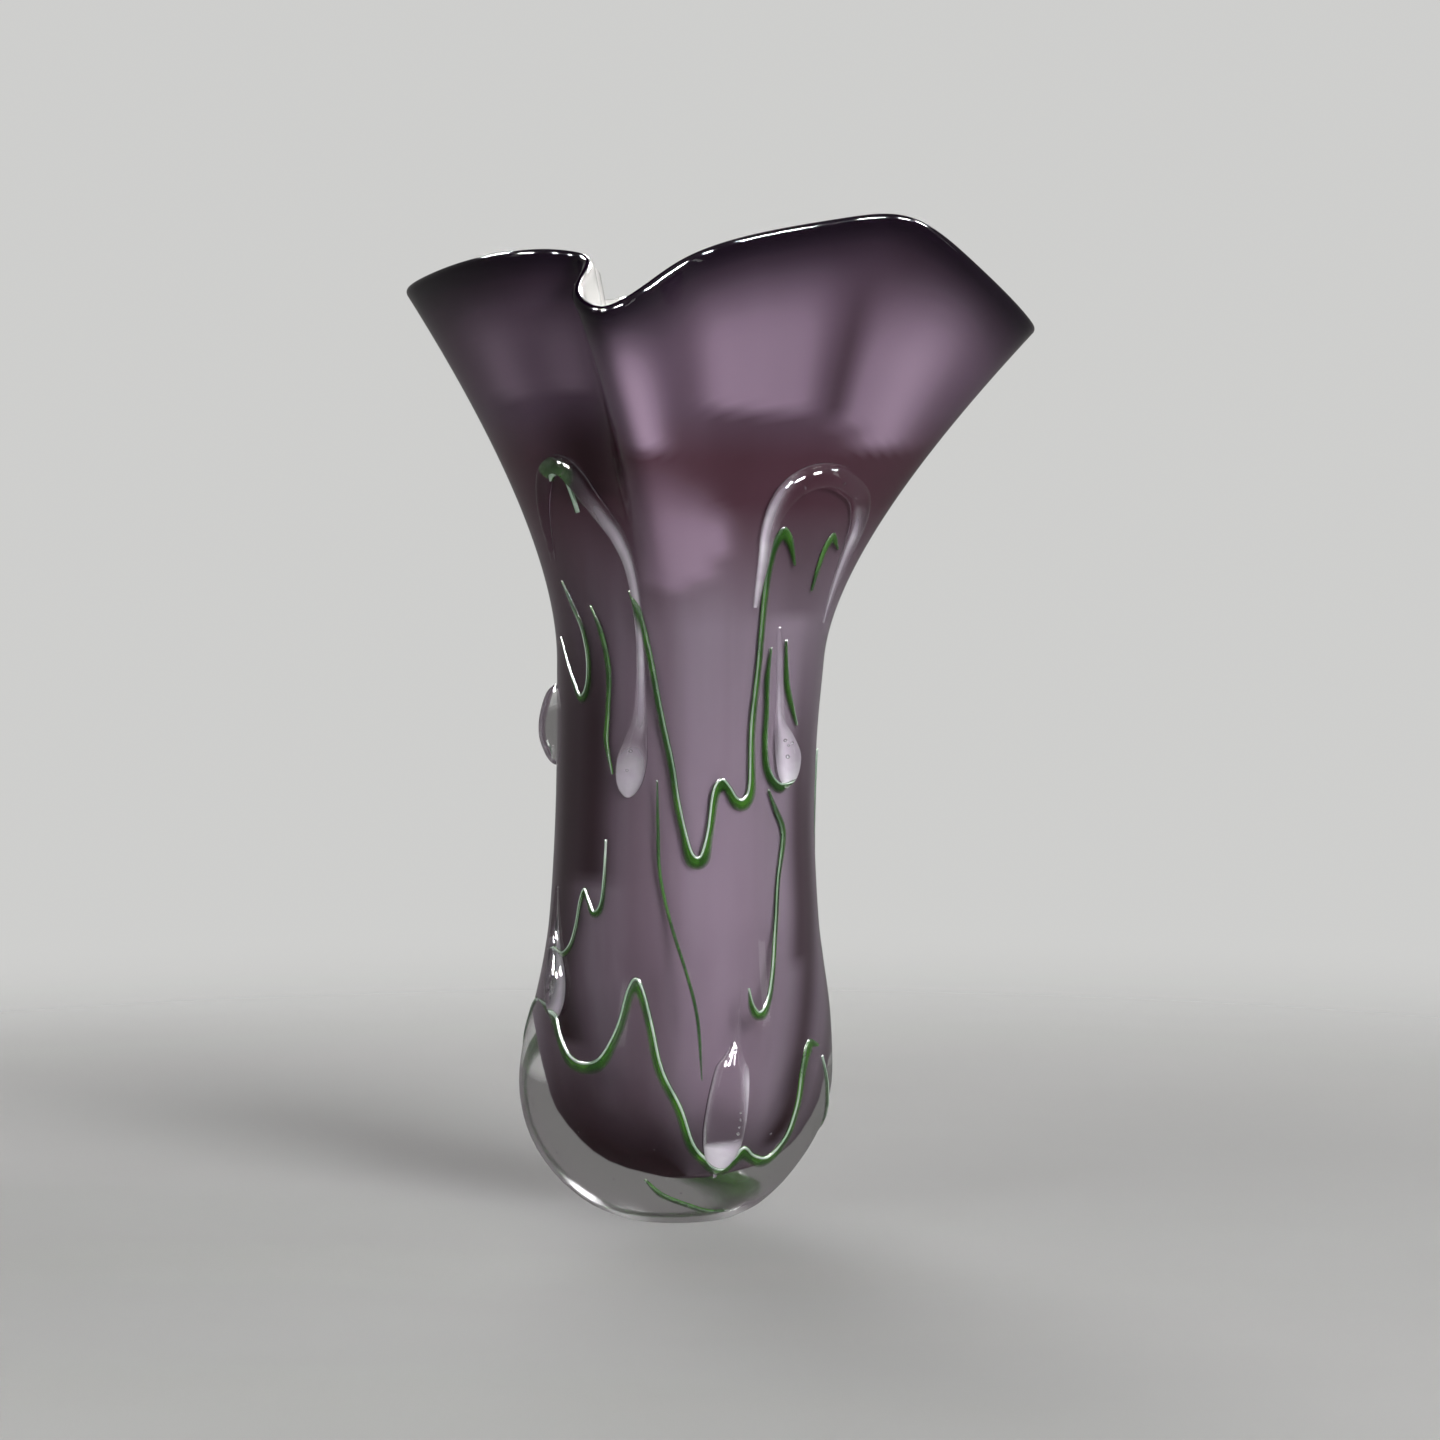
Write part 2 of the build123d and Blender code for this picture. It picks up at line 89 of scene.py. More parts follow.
# Poles of the lip's spline, anticlockwise from the right tip, as (angle at the neck, x, y, z).
# The lip has four ruffles: a tip at each side, and a folded spout at the back and at the front.
LIP = [
    (0, 132, -12, 314),
    (15, 122, 30, 326),
    (32, 96, 58, 341),
    (48, 64, 71, 350),
    (66, 32, 73, 347),
    (80, 6, 84, 341),
    (90, -10, 100, 335.5),
    (99, -27, 106, 330.5),
    (108, -38, 96, 331),
    (117, -31, 74, 344),
    (128, -40, 60, 345),
    (143, -60, 55, 341),
    (160, -84, 38, 335),
    (178, -102, 4, 330),
    (196, -89, -30, 335),
    (212, -70, -57, 340),
    (226, -47, -66, 343),
    (238, -33, -64, 342),
    (247, -30, -76, 337),
    (254, -38, -92, 326),
    (262, -24, -108, 317),
    (271, -6, -92, 330),
    (282, 6, -70, 341),
    (296, 26, -66, 348),
    (312, 58, -68, 353),
    (326, 82, -72, 356),
    (340, 104, -57, 338),
    (351, 120, -38, 325),
]

# Applied clear glass, as (angle, height, width, rise above the casing).
TRAILS = {
    "left_arch_trail": [
        (204, 236, 2.5, 1.0), (206, 250, 5.0, 2.5), (210, 261, 6.5, 3.5), (214.5, 268, 7.0, 4.5),
        (220, 269.5, 7.5, 4.5), (225, 265, 7.5, 4.5), (230, 258, 7.0, 4.0), (236, 251, 6.5, 3.5),
        (242, 244, 6.0, 3.0), (246.5, 234, 4.5, 2.5), (248.5, 219, 3.5, 2.0), (249, 205, 3.2, 1.8),
        (249.5, 192, 3.6, 2.0), (249.5, 181, 5.5, 3.0), (248.2, 174, 8.5, 4.8),
        (246.8, 167, 11.0, 6.0), (245.8, 161, 10.5, 5.6), (245.2, 157, 8.0, 4.2),
        (245, 154.6, 4.5, 2.2), (245, 153.6, 1.5, 0.8),
    ],
    "right_arch_trail": [
        (297, 220, 2.5, 1.0), (299.5, 236, 4.0, 2.5), (301, 246, 5.5, 3.5), (304, 254.5, 7.5, 4.5),
        (308.5, 261, 8.5, 5.0), (315, 265, 9.0, 5.5), (323, 266, 9.0, 5.5), (331, 263.5, 9.0, 5.5),
        (338, 258.5, 8.5, 5.0), (342, 250, 7.0, 4.0), (342.5, 241, 5.5, 3.0), (342, 230, 4.0, 2.0),
        (341, 214, 2.0, 1.0),
    ],
    "right_drop_trail": [
        (309, 213, 1.5, 0.8), (310.5, 202, 2.5, 1.5), (312, 190, 3.0, 2.0), (313.5, 180, 4.0, 2.5),
        (316, 174, 8.0, 4.5), (318.5, 168, 10.5, 6.0), (319.5, 162.5, 9.5, 5.2),
        (320, 159, 7.0, 3.6), (320, 157, 3.5, 1.8), (320, 156, 1.5, 0.8),
    ],
    "side_bead": [
        (182, 191, 2.0, 1.2), (181.5, 188.5, 5.5, 3.6), (181, 184, 8.0, 5.4), (180, 178, 9.5, 6.6),
        (180, 172, 9.5, 6.4), (181, 167, 7.5, 4.6), (181.5, 164, 5.0, 2.8), (182, 162.5, 2.0, 1.0),
    ],
    "low_left_drop": [
        (199, 120, 1.5, 0.8), (201, 110, 3.0, 1.8), (204, 101, 5.0, 3.0), (208, 94, 7.5, 4.4),
        (211.5, 87, 9.5, 5.5), (213.5, 81, 9.0, 5.0), (214, 77, 6.5, 3.4), (214, 74.8, 3.5, 1.6),
        (214, 73.8, 1.5, 0.8),
    ],
    "base_drop": [
        (294, 92, 2.0, 1.0), (293.5, 84, 3.0, 1.8), (292.5, 75, 5.5, 3.0), (291.5, 66, 9.5, 4.2),
        (290.5, 57, 13.5, 5.0), (289.5, 47, 15.5, 5.8), (289, 37, 15.5, 6.0), (289, 30, 12.5, 5.0),
        (289, 25.5, 8.0, 3.2), (289, 23, 3.5, 1.5), (289, 22, 1.5, 0.8),
    ],
    "back_right_arch_trail": [
        (24, 218, 2.5, 1.0), (26, 236, 5.0, 3.0), (30, 252, 7.5, 4.5), (38, 262, 9.0, 5.5),
        (48, 263, 9.0, 5.5), (56, 254, 7.5, 4.5), (59, 238, 5.5, 3.0), (60, 218, 2.5, 1.0),
    ],
    "back_left_arch_trail": [
        (126, 212, 2.5, 1.0), (129, 232, 5.0, 3.0), (134, 250, 7.5, 4.5), (142, 260, 8.5, 5.0),
        (152, 258, 8.5, 5.0), (159, 245, 6.5, 3.5), (162, 226, 4.5, 2.0), (163, 206, 2.0, 1.0),
    ],
    "back_drop_trail": [
        (88, 216, 1.5, 0.8), (89, 200, 3.0, 2.0), (90, 186, 4.5, 2.5), (91, 175, 9.0, 5.0),
        (92, 168, 11.0, 6.0), (92, 162, 9.5, 5.0), (92, 158, 6.5, 3.2), (92, 156, 3.0, 1.5),
        (92, 155, 1.5, 0.8),
    ],
    "back_low_drop": [
        (40, 106, 1.5, 0.8), (39, 96, 3.5, 2.0), (38, 85, 7.0, 4.0), (37, 76, 10.0, 5.5),
        (37, 70, 9.0, 4.8), (37, 65, 6.0, 3.0), (37, 62.5, 3.0, 1.5), (37, 61.5, 1.5, 0.8),
    ],
}

# Threads as (green width, white width, route), where a route is a list of (angle, height).
# The white strand lies on the route and the green band lies to the right of its travel.
THREADS = {
    "left_hook": (
        2.6,
        1.8,
        [(223.5, 253), (222, 260), (220.5, 265.5), (217.5, 267.5), (215, 267), (214, 264.5)],
    ),
    "left_hairpin": (
        1.4,
        0.8,
        [
            (199, 208.5), (205.5, 200.5), (211.5, 194), (217, 188.5), (221, 192.5), (221.5, 201),
            (218.5, 211.5), (212.5, 220.5), (208, 229),
        ],
    ),
    "left_drop": (
        1.6,
        0.6,
        [(224.5, 220.5), (230.5, 211), (234.5, 198), (234.5, 185), (234, 173), (237, 161.5)],
    ),
    "long_v": (
        2.0,
        0.9,
        [
            (244.5, 226), (249.5, 218), (253.5, 204), (259.5, 182.5), (264.5, 166.5), (267.5, 153),
            (271, 141), (274, 134), (277.5, 133.5), (280.5, 142.5), (282.5, 156), (286, 160),
            (289.5, 157.5), (293, 153.5), (296.5, 153), (299, 158.5), (298.5, 178.5), (299.5, 198),
            (300.5, 222.5), (302, 236.5), (304.5, 244), (307.5, 247.5), (311, 243.5),
            (313.5, 234.5),
        ],
    ),
    "right_u": (
        1.8,
        0.6,
        [(325.5, 225.5), (326.5, 234.5), (328.5, 242), (332, 245.5), (336.5, 240)],
    ),
    "right_drop": (
        1.8,
        0.9,
        [
            (305.5, 206), (305.5, 195), (306.5, 184), (307, 171.5), (309.5, 162.5), (316.5, 157.5),
            (325, 160.5),
        ],
    ),
    "right_inner": (2.0, 0.6, [(313.5, 208.5), (317, 194), (321.5, 185), (325.5, 178)]),
    "right_low": (
        1.6,
        0.8,
        [
            (297, 87), (298.5, 81.5), (301.5, 78.5), (305, 82.5), (308, 91), (311.5, 107.5),
            (314, 124), (317.5, 139.5), (313, 148.5), (309, 156),
        ],
    ),
    "left_low": (
        1.3,
        0.9,
        [
            (203.5, 97.5), (210.5, 97), (216, 100.5), (218.8, 107.5), (220.5, 116), (223, 120.5),
            (225.8, 117), (229.4, 113), (232.8, 116), (234, 125), (234.5, 138.5),
        ],
    ),
    "centre_faint": (
        1.0,
        0.5,
        [
            (258, 160), (259, 146), (260.5, 127), (265.5, 109.5), (271.5, 94), (275.5, 82),
            (278, 70), (279.5, 56),
        ],
    ),
    "foot_wave": (
        2.4,
        1.1,
        [
            (198, 79), (207.5, 78), (214, 76), (220.5, 69), (228, 62.5), (235, 60.5), (241.5, 63),
            (246, 73), (248.5, 86), (251.5, 90.5), (255, 86), (260, 73.5), (265.5, 59),
            (272.5, 46.5), (277.5, 34), (283, 28), (290, 24.5), (295, 27), (298.5, 31),
            (304.5, 27.5), (312, 26.5), (317.5, 33), (320, 43.5), (322, 56.5), (326.5, 66),
            (334, 64),
        ],
    ),
    "foot_end": (2.0, 0.9, [(258.5, 19.5), (265.5, 14), (276.5, 10), (290.5, 6.5), (303, 5.5)]),
    "back_wave": (
        2.4,
        1.1,
        [
            (337, 60), (346, 46), (356, 36), (366, 34), (376, 44), (386, 68), (394, 86), (401, 88),
            (408, 74), (418, 52), (430, 38), (444, 34), (456, 42), (466, 62), (475, 78), (484, 74),
            (494, 54), (506, 40), (518, 42), (530, 58), (542, 74), (552, 79),
        ],
    ),
    "back_long_v": (
        2.0,
        0.9,
        [
            (52, 224), (55, 200), (60, 172), (65, 148), (70, 136), (75, 140), (79, 158), (84, 160),
            (90, 150), (97, 150), (102, 166), (106, 194), (110, 222),
        ],
    ),
    "back_right_v": (
        1.6,
        0.8,
        [(2, 168), (7, 140), (12, 120), (18, 112), (24, 118), (28, 140), (31, 164)],
    ),
    "back_left_v": (
        1.6,
        0.8,
        [(136, 180), (141, 150), (146, 128), (152, 118), (158, 124), (162, 146), (166, 172)],
    ),
}

# Rings of the wall, as steps: 0 to 1 up the body, then 1 to 2 up the flare.
FOOT_STEPS = [0, 0.006, 0.013, 0.022, 0.033, 0.046, 0.062, 0.08]
BODY_STEPS = 45
BODY_STEP = 0.02
FLARE_STEPS = 47
FLARE_STEP = 0.021
RIM_STEP = 1.982  # the last ring below the lip's rounded edge
DISC_SHARES = (0.03, 0.3, 0.7, 0.96)  # rings inside the flat bottoms, as shares of the radius
LIP_ROUNDING = 2.2  # height of the lip's rounded edge
ROUNDED_SHARE = 0.985  # share of the wall over which the lip is rounded
LIP_RINGS = 7  # across the lip of the casing and of the liner
OVERLAY_LIP_RINGS = 5
SHARP_ANGLE = 50  # degrees between faces, from which an edge of the casing is sharp

# How far to each side a slope is measured.
STEP_REACH = 0.004
TURN_REACH = 0.02  # turns round the lip
LIP_REACH = 0.01  # steps below the lip
GLASS_REACH = 0.5  # degrees and millimetres
FLARE_FOOT = 1.0001  # the first step of the flare that is clear of the body
TURN_SAMPLES = 6000  # to find the lip's turn over an angle
SPARE_TURNS = 2  # before the first pole

SPAN_SECTIONS = 8  # sections of a strand between two rows of its route
CROWN_POINTS = 14  # across a strand's rounded top
TRAIL_SINK = 0.1  # how far a trail's crown lies below that of its CAD solid
THREAD_RISE = 0.55  # height of a green band
CORE_RISE = 0.7  # height of a white strand
GREEN_SPREAD = 1.25  # a green band is this much wider than its CAD solid
GREEN_TUCK = 0.7  # share of the white strand's width that the green band reaches past its middle
GREEN_POOL = 1.0  # how much wider again a green band gets at a tight turn
POOL_GAIN = 1.5  # how soon a turn counts as tight
TURN_SPAN = 2  # sections on each side over which a turn is measured
BAND_END = 0.35  # width of a green band's ends, as a share of its full width

PATCH_EDGE = 6.0  # height over which the lower edge of a patch comes in
PATCH_FADE = 0.6  # share of a patch's height over which its upper edge fades
FLARE_SHADE_BAND = (212, 256)  # heights over which the maroon band of painted shade comes in
UPPER_FLARE = (272, 288)  # heights over which the flare turns violet, above the band of painted shade
RIM_REACH = 19  # how far down the dark of the lip reaches
LINER_RIM = (2.5, 4.0)  # distances below the lip over which the liner turns white
BULKY = (3.5, 6.5)  # widths over which a trail's painted dark edge, a line of painted shade, comes in
EDGE_LINE = (0.72, 0.88)  # where that painted shade line comes in across the trail
COVER_SHARE = 0.8  # share of a trail's width under which the casing shows no face of its own
COVER_LEAST = 1.5  # half width from which that holds

ROOM_FRONT = 0.09  # brightness of the mirrored room on the camera's side
ROOM_BACK = 0.16
ROOM_TURN = (0.1, -0.9)  # from back to front, as the depth part of a direction
FLOOR_RADIUS = 6000
FLOOR_SIDES = 96
FLOOR_FADE = (0.25, 0.95)  # distances over which the floor fades into the backdrop, in metres

# Soft boxes, in metres, as name: (place, width, height, radiance, whether the glass mirrors it).
LIGHTS = {
    "key_box": ((1.3, -1.8, 1.1), 1.0, 1.0, 14.5, False),
    "fill_box": ((-1.6, -1.3, 0.8), 0.9, 0.9, 2.6, False),
    "back_box": ((-0.4, 1.9, 1.3), 1.0, 1.0, 8.0, False),
    "window_left": ((-1.2, -1.2, 0.9), 0.3, 0.9, 1.0, True),
    "window_right": ((1.5, -0.6, 0.7), 0.2, 1.0, 1.4, True),
    "window_back": ((0.5, 1.8, 1.2), 1.2, 0.5, 1.2, True),
}
LIGHTS_FACE = (0, 0, 0.2)

# Small bright boxes overhead, which give the glass its glints, as (x, y).
CEILING = [(-0.8, -0.8), (-0.1, -1.2), (0.7, -0.9), (1.1, 0), (-0.6, 0.8), (0.5, 0.9)]
CEILING_HEIGHT = 1.5
CEILING_WIDTH = 0.36
CEILING_RADIANCE = 280

# Patches of painted light on the amethyst, a lighter lavender, as (angle, lowest height, highest
# height, angle spread, strength). The lower edge of a patch is crisp, as a painted shadow edge, and
# its upper edge soft.
PAINTED_LIGHT_PATCHES = [
    (255, 225, 276, 6, 0.3),
    (265, 223, 276, 7, 0.5),
    (275, 227, 268, 7, 0.55),
    (283, 235, 258, 5, 0.45),
    (264, 272, 334, 4.5, 1.0),
    (287, 286, 345, 7, 0.55),
    (298, 285, 352, 8, 0.6),
    (308, 285, 350, 6, 0.45),
    (327, 280, 340, 7, 0.4),
    (339, 273, 345, 9, 0.85),
    (229, 292, 335, 9, 0.5),
    (208, 290, 336, 9, 0.45),
    (285, 40, 226, 22, 0.3),
    (20, 284, 340, 12, 0.8),
    (48, 282, 348, 10, 1.0),
    (80, 284, 340, 9, 0.8),
    (132, 284, 345, 10, 0.9),
    (160, 286, 340, 12, 0.8),
    (60, 226, 274, 10, 0.6),
    (104, 228, 268, 10, 0.6),
]

# Patches of painted shade on the amethyst, a darker maroon, as (angle, lowest height, highest height,
# angle spread, strength).
PAINTED_SHADE_PATCHES = [
    (226, 120, 262, 13, 0.85),
    (204, 60, 300, 14, 0.75),
    (246, 262, 345, 6, 0.75),
    (228, 255, 300, 14, 0.9),
    (320, 283, 345, 4, 0.5),
    (340, 30, 262, 12, 0.8),
    (329, 90, 240, 6, 0.4),
    (318, 214, 268, 16, 0.4),
    (205, -20, 90, 50, 0.95),
    (258, -20, 60, 30, 0.9),
    (310, -20, 56, 24, 0.7),
    (60, -20, 70, 70, 0.8),
    (145, -20, 70, 40, 0.8),
    (28, 110, 262, 14, 0.6),
    (150, 110, 262, 14, 0.6),
    (88, 214, 268, 9, 0.4),
]

# Painted light under a clear trail, a pale lavender-white, as (share of its length, amount, middle
# across, spread), where the middle runs from -1 to 1, left of the travel being 1.
ARCH_GLOW = [(0, 0.5, 0, 0.5), (0.3, 0.9, 0.2, 0.5), (0.5, 0.2, 0, 0.4), (1, 0.7, 0, 0.5)]
DROP_GLOW = [(0, 0, 0, 0.5), (0.4, 0.5, 0, 0.5), (0.65, 1, 0, 0.9), (1, 1, 0, 0.9)]
TRAIL_GLOW = {
    "left_arch_trail": [
        (0, 0, 0, 0.5),
        (0.3, 0.1, -0.2, 0.4),
        (0.42, 0.8, -0.2, 0.5),
        (0.6, 0.7, 0.1, 0.5),
        (0.74, 0.15, 0, 0.5),
        (0.84, 1, 0, 0.9),
        (1, 1, 0, 0.9),
    ],
    "right_arch_trail": [
        (0, 0.5, 0, 0.6),
        (0.13, 0.95, 0.2, 0.5),
        (0.28, 0.5, 0.3, 0.35),
        (0.4, 0.04, 0.5, 0.3),
        (0.68, 0.03, 0, 0.3),
        (0.8, 0.7, 0.3, 0.4),
        (1, 0.4, 0, 0.5),
    ],
    "right_drop_trail": [(0, 0, 0, 0.5), (0.4, 0.7, 0.2, 0.5), (0.65, 1, 0, 0.9), (1, 1, 0, 0.9)],
    "side_bead": [(0, 0.4, 0, 0.5), (0.5, 0.8, 0, 0.6), (1, 0.6, 0, 0.9)],
    "low_left_drop": [(0, 0, 0, 0.5), (0.5, 0.7, 0.2, 0.5), (0.7, 1, 0, 0.8), (1, 0.2, 0, 0.9)],
    "base_drop": [
        (0, 0, 0.6, 0.3),
        (0.34, 0.1, 0.7, 0.3),
        (0.42, 0.95, 0.75, 0.2),
        (0.52, 0.8, 0.82, 0.16),
        (0.61, 0.1, 0.9, 0.15),
        (0.66, 0.95, 0, 1.2),
        (1, 0.9, 0, 1.2),
    ],
    "back_right_arch_trail": ARCH_GLOW,
    "back_left_arch_trail": ARCH_GLOW,
    "back_drop_trail": DROP_GLOW,
    "back_low_drop": DROP_GLOW,
}

# Air bubbles in the clear glass, as (angle, height, distance above the casing, radius).
BUBBLES = {
    "right_drop_trail": [
        (315.2, 173.2, 2.2, 0.6),
        (316.6, 171.4, 2.6, 0.45),
        (318.2, 172.0, 2.4, 0.5),
        (316.2, 167.6, 3.0, 0.7),
    ],
    "left_arch_trail": [(247.4, 170, 2.8, 0.6), (246, 163.5, 2.6, 0.45), (222, 267.5, 2, 0.4)],
    "right_arch_trail": [(312, 262.5, 2.5, 0.5), (327, 264.5, 2.8, 0.6), (334.5, 260, 2.2, 0.4)],
    "base_drop": [
        (292.8, 45, 2.4, 0.45),
        (292.9, 42.6, 2.6, 0.6),
        (292.8, 40.2, 2.6, 0.5),
        (292.6, 38, 2.8, 0.65),
        (292.2, 35.6, 2.8, 0.45),
    ],
    "low_left_drop": [(210.5, 88, 2.6, 0.5), (212.5, 82.5, 2.4, 0.4)],
    "back_drop_trail": [(91, 172, 2.6, 0.6), (93, 166, 2.8, 0.5)],
    "back_low_drop": [(37, 74, 2.6, 0.6)],
}
BUBBLE_SIDES = 10

# The base drop is drawn out into a thin tail between two heights, down to a share of its width.
DRAWN_TAIL = (60, 69)
TAIL_SHARE = 0.3

# Seeds are the small bubbles in the clear foot.
SEEDS = 26
SEED_TURN = 137.508  # the golden angle, which spreads them evenly
SEED_HEIGHTS = (8, 42)
SEED_DEPTHS = (2.5, 9.5)
SEED_RADII = (0.25, 0.55)

# How much of a thread's white strand shows, as (share of its length, amount).
FADED_WHITE = {
    "long_v": [(0, 0.1), (0.12, 0.5), (0.3, 1), (0.6, 1), (0.72, 0.5), (0.85, 0.15), (1, 0.05)],
    "centre_faint": [(0, 0.15), (1, 0.1)],
    "right_u": [(0, 0.1), (1, 0.1)],
    "right_inner": [(0, 0.1), (0.6, 0.3), (1, 0.6)],
    "left_drop": [(0, 0.1), (0.6, 0.2), (1, 0.5)],
    "right_drop": [(0, 0.1), (0.6, 0.3), (0.75, 1), (1, 0.6)],
    "right_low": [(0, 0.8), (0.3, 1), (0.7, 0.6), (1, 0.1)],
    "left_hairpin": [(0, 0.3), (0.3, 1), (0.6, 0.8), (1, 0.2)],
    "foot_wave": [(0, 0.9), (0.85, 1), (0.94, 0.2), (1, 0.05)],
    "foot_end": [(0, 0.2), (1, 0.2)],
}


# ---- numbers ----
def ramp(values, low, high):
    """0 up to low, 1 from high on, and straight between."""
    return np.clip((values - low) / (high - low), 0, 1)


def eased(share):
    """A share from 0 to 1 with a soft start and a soft end."""
    return share**2 * (3 - 2 * share)


def between(limits, share):
    """The value at a share of the way from one limit to the other."""
    low, high = limits
    return low + (high - low) * share


# ---- the wall's surfaces ----
def smooth(table, heights):
    """Smooth values between the rows of a table, whose first column is a height."""
    rows = np.array(table, float)
    knots, values = rows[:, 0], rows[:, 1:]
    index = np.arange(len(rows))
    low, high = np.maximum(index - 1, 0), np.minimum(index + 1, len(rows) - 1)
    slopes = (values[high] - values[low]) / (knots[high] - knots[low])[:, None]
    row = np.clip(np.searchsorted(knots, heights, side="right") - 1, 0, len(rows) - 2)
    step = (knots[row + 1] - knots[row])[:, None]
    u = (heights - knots[row])[:, None] / step
    return (
        (2 * u**3 - 3 * u**2 + 1) * values[row]
        + (u**3 - 2 * u**2 + u) * slopes[row] * step
        + (3 * u**2 - 2 * u**3) * values[row + 1]
        + (u**3 - u**2) * slopes[row + 1] * step
    )


def lip_at(turns):
    """(angles at the neck, lip points) on the lip's spline; turns count poles round the lip."""
    poles = np.array(LIP, float)
    first = np.floor(turns).astype(int)
    u = turns - first
    weights = (
        (1 - u) ** 3 / 6,
        (3 * u**3 - 6 * u**2 + 4) / 6,
        (-3 * u**3 + 3 * u**2 + 3 * u + 1) / 6,
        u**3 / 6,
    )
    total = np.zeros((len(turns), 4))
    for offset, weight in enumerate(weights):
        rounds, pole = np.divmod(first - 1 + offset, len(LIP))
        values = poles[pole]
        values[:, 0] += 360 * rounds
        total += weight[:, None] * values
    return total[:, 0], total[:, 1:]


def turns_at(angles):
    """The lip's turns that stand over angles at the neck."""
    turns = np.linspace(-SPARE_TURNS, 2 * len(LIP), TURN_SAMPLES)
    return np.interp(angles, lip_at(turns)[0], turns)


def ring_points(profile, angles, heights):
    """Points of a profile's round surface at given angles and heights."""
    radius, shift = smooth(profile, heights).T
    around = np.radians(angles)
    return np.stack([shift + radius * np.cos(around), radius * np.sin(around), heights], 1)


def flare_poles(angles, lips):
    """The three poles of the flare's outside curves, from the neck to the lip."""
    necks = ring_points(BODY, angles, np.full(len(angles), NECK_HEIGHT))
    rise = FLARE_RISE * (lips[:, 2:] - NECK_HEIGHT)
    around = np.radians(angles)
    lean = np.stack([np.cos(around), np.sin(around), 0 * around], 1) * LIP_LEAN
    return necks, necks + (lean + np.array([BODY_LEAN, 0, 1])) * rise, lips


def outside(turns, step):
    """The vase's outside: step runs 0 to 1 up the body, then 1 to 2 up the flare."""
    angles, lips = lip_at(turns)
    if step <= 1:
        return ring_points(BODY, angles, np.full(len(turns), NECK_HEIGHT * step))
    necks, bends, lips = flare_poles(angles, lips)
    share = step - 1
    return necks * (1 - share) ** 2 + bends * (2 * share * (1 - share)) + lips * share**2


def cup_outside(turns, step):
    """The boundary between the clear casing and the amethyst layer."""
    if step > 1:
        return inset(outside, turns, step, CASING_WALL)
    bottom = CUP[0][0]
    heights = np.full(len(turns), bottom + (NECK_HEIGHT - bottom) * step)
    return ring_points(CUP, lip_at(turns)[0], heights)


def normals(surface, turns, step):
    """A surface's outward directions. The body and the flare meet at a bend, so each is measured
    on its own side of the neck."""
    low, high = max(step - STEP_REACH, 0), min(step + STEP_REACH, 2)
    if step <= 1:
        high = min(high, 1)
    else:
        low = max(low, FLARE_FOOT)
    along = surface(turns + TURN_REACH, step) - surface(turns - TURN_REACH, step)
    upward = surface(turns, high) - surface(turns, low)
    across = np.cross(along, upward)
    return across / np.linalg.norm(across, axis=1)[:, None]


def inset(surface, turns, step, depth):
    """A surface's points moved into the glass by a depth."""
    return surface(turns, step) - normals(surface, turns, step) * depth


def on_casing(angles, heights):
    """The outside points over angles at the neck, at given heights."""
    low = ring_points(BODY, angles, np.minimum(heights, NECK_HEIGHT))
    necks, bends, lips = flare_poles(*lip_at(turns_at(angles)))
    curve = (necks - 2 * bends + lips)[:, 2]
    slope = (bends - necks)[:, 2]
    above = np.maximum(heights - NECK_HEIGHT, 0)
    share = ((np.sqrt(slope**2 + curve * above) - slope) / curve)[:, None]
    high = necks * (1 - share) ** 2 + bends * (2 * share * (1 - share)) + lips * share**2
    return np.where((heights <= NECK_HEIGHT)[:, None], low, high)


# ---- meshes ----
def strip_faces(rows, columns):
    """Quads between the closed rows of a grid whose points are numbered row by row."""
    faces = []
    for row in range(rows - 1):
        for column in range(columns):
            beside = (column + 1) % columns
            here, above = row * columns, (row + 1) * columns
            faces.append((here + column, here + beside, above + beside, above + column))
    return faces


def add_piece(name, points, faces, nodes, materials, values=None):
    """A smooth mesh that stands for CAD nodes; values are its named point attributes."""
    mesh = bpy.data.meshes.new(name)
    mesh.from_pydata((np.array(points) * MM).tolist(), [], faces)
    mesh.polygons.foreach_set("use_smooth", [True] * len(mesh.polygons))
    for key, numbers in (values or {}).items():
        mesh.attributes.new(key, "FLOAT", "POINT").data.foreach_set("value", numbers)
    for material in materials:
        mesh.materials.append(material)
    piece = bpy.data.objects.new(name, mesh)
    bpy.context.scene.collection.objects.link(piece)
    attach(piece, "root")
    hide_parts(*nodes)
    return piece


def lip_drop(depth):
    """How far below the lip's crest the rounded edge lies, a depth in from the outside."""
    across = min(abs(2 * depth / WALL - 1), ROUNDED_SHARE)
    return LIP_ROUNDING * (1 - math.sqrt(1 - across**2))


def lip_ring(turns, depth):
    """A ring of the rounded lip, a depth in from the outside."""
    upward = outside(turns, 2) - outside(turns, 2 - LIP_REACH)
    upward /= np.linalg.norm(upward, axis=1)[:, None]
    return inset(outside, turns, 2, depth) - upward * lip_drop(depth)


def wall_steps():
    """The steps of the rings up one wall, close together at the foot."""
    body = [FOOT_STEPS[-1] + BODY_STEP * (i + 1) for i in range(BODY_STEPS)]
    flare = [1 + FLARE_STEP * i for i in range(FLARE_STEPS)]
    return FOOT_STEPS + body + flare + [RIM_STEP]


def ring_turns():
    """The turns of a ring's points."""
    return len(LIP) * np.arange(RING_POINTS) / RING_POINTS


def disc_rings(ring, shares):
    """Rings inside a flat ring, towards its centre."""
    centre = ring.mean(axis=0)
    return [centre + (ring - centre) * share for share in shares]


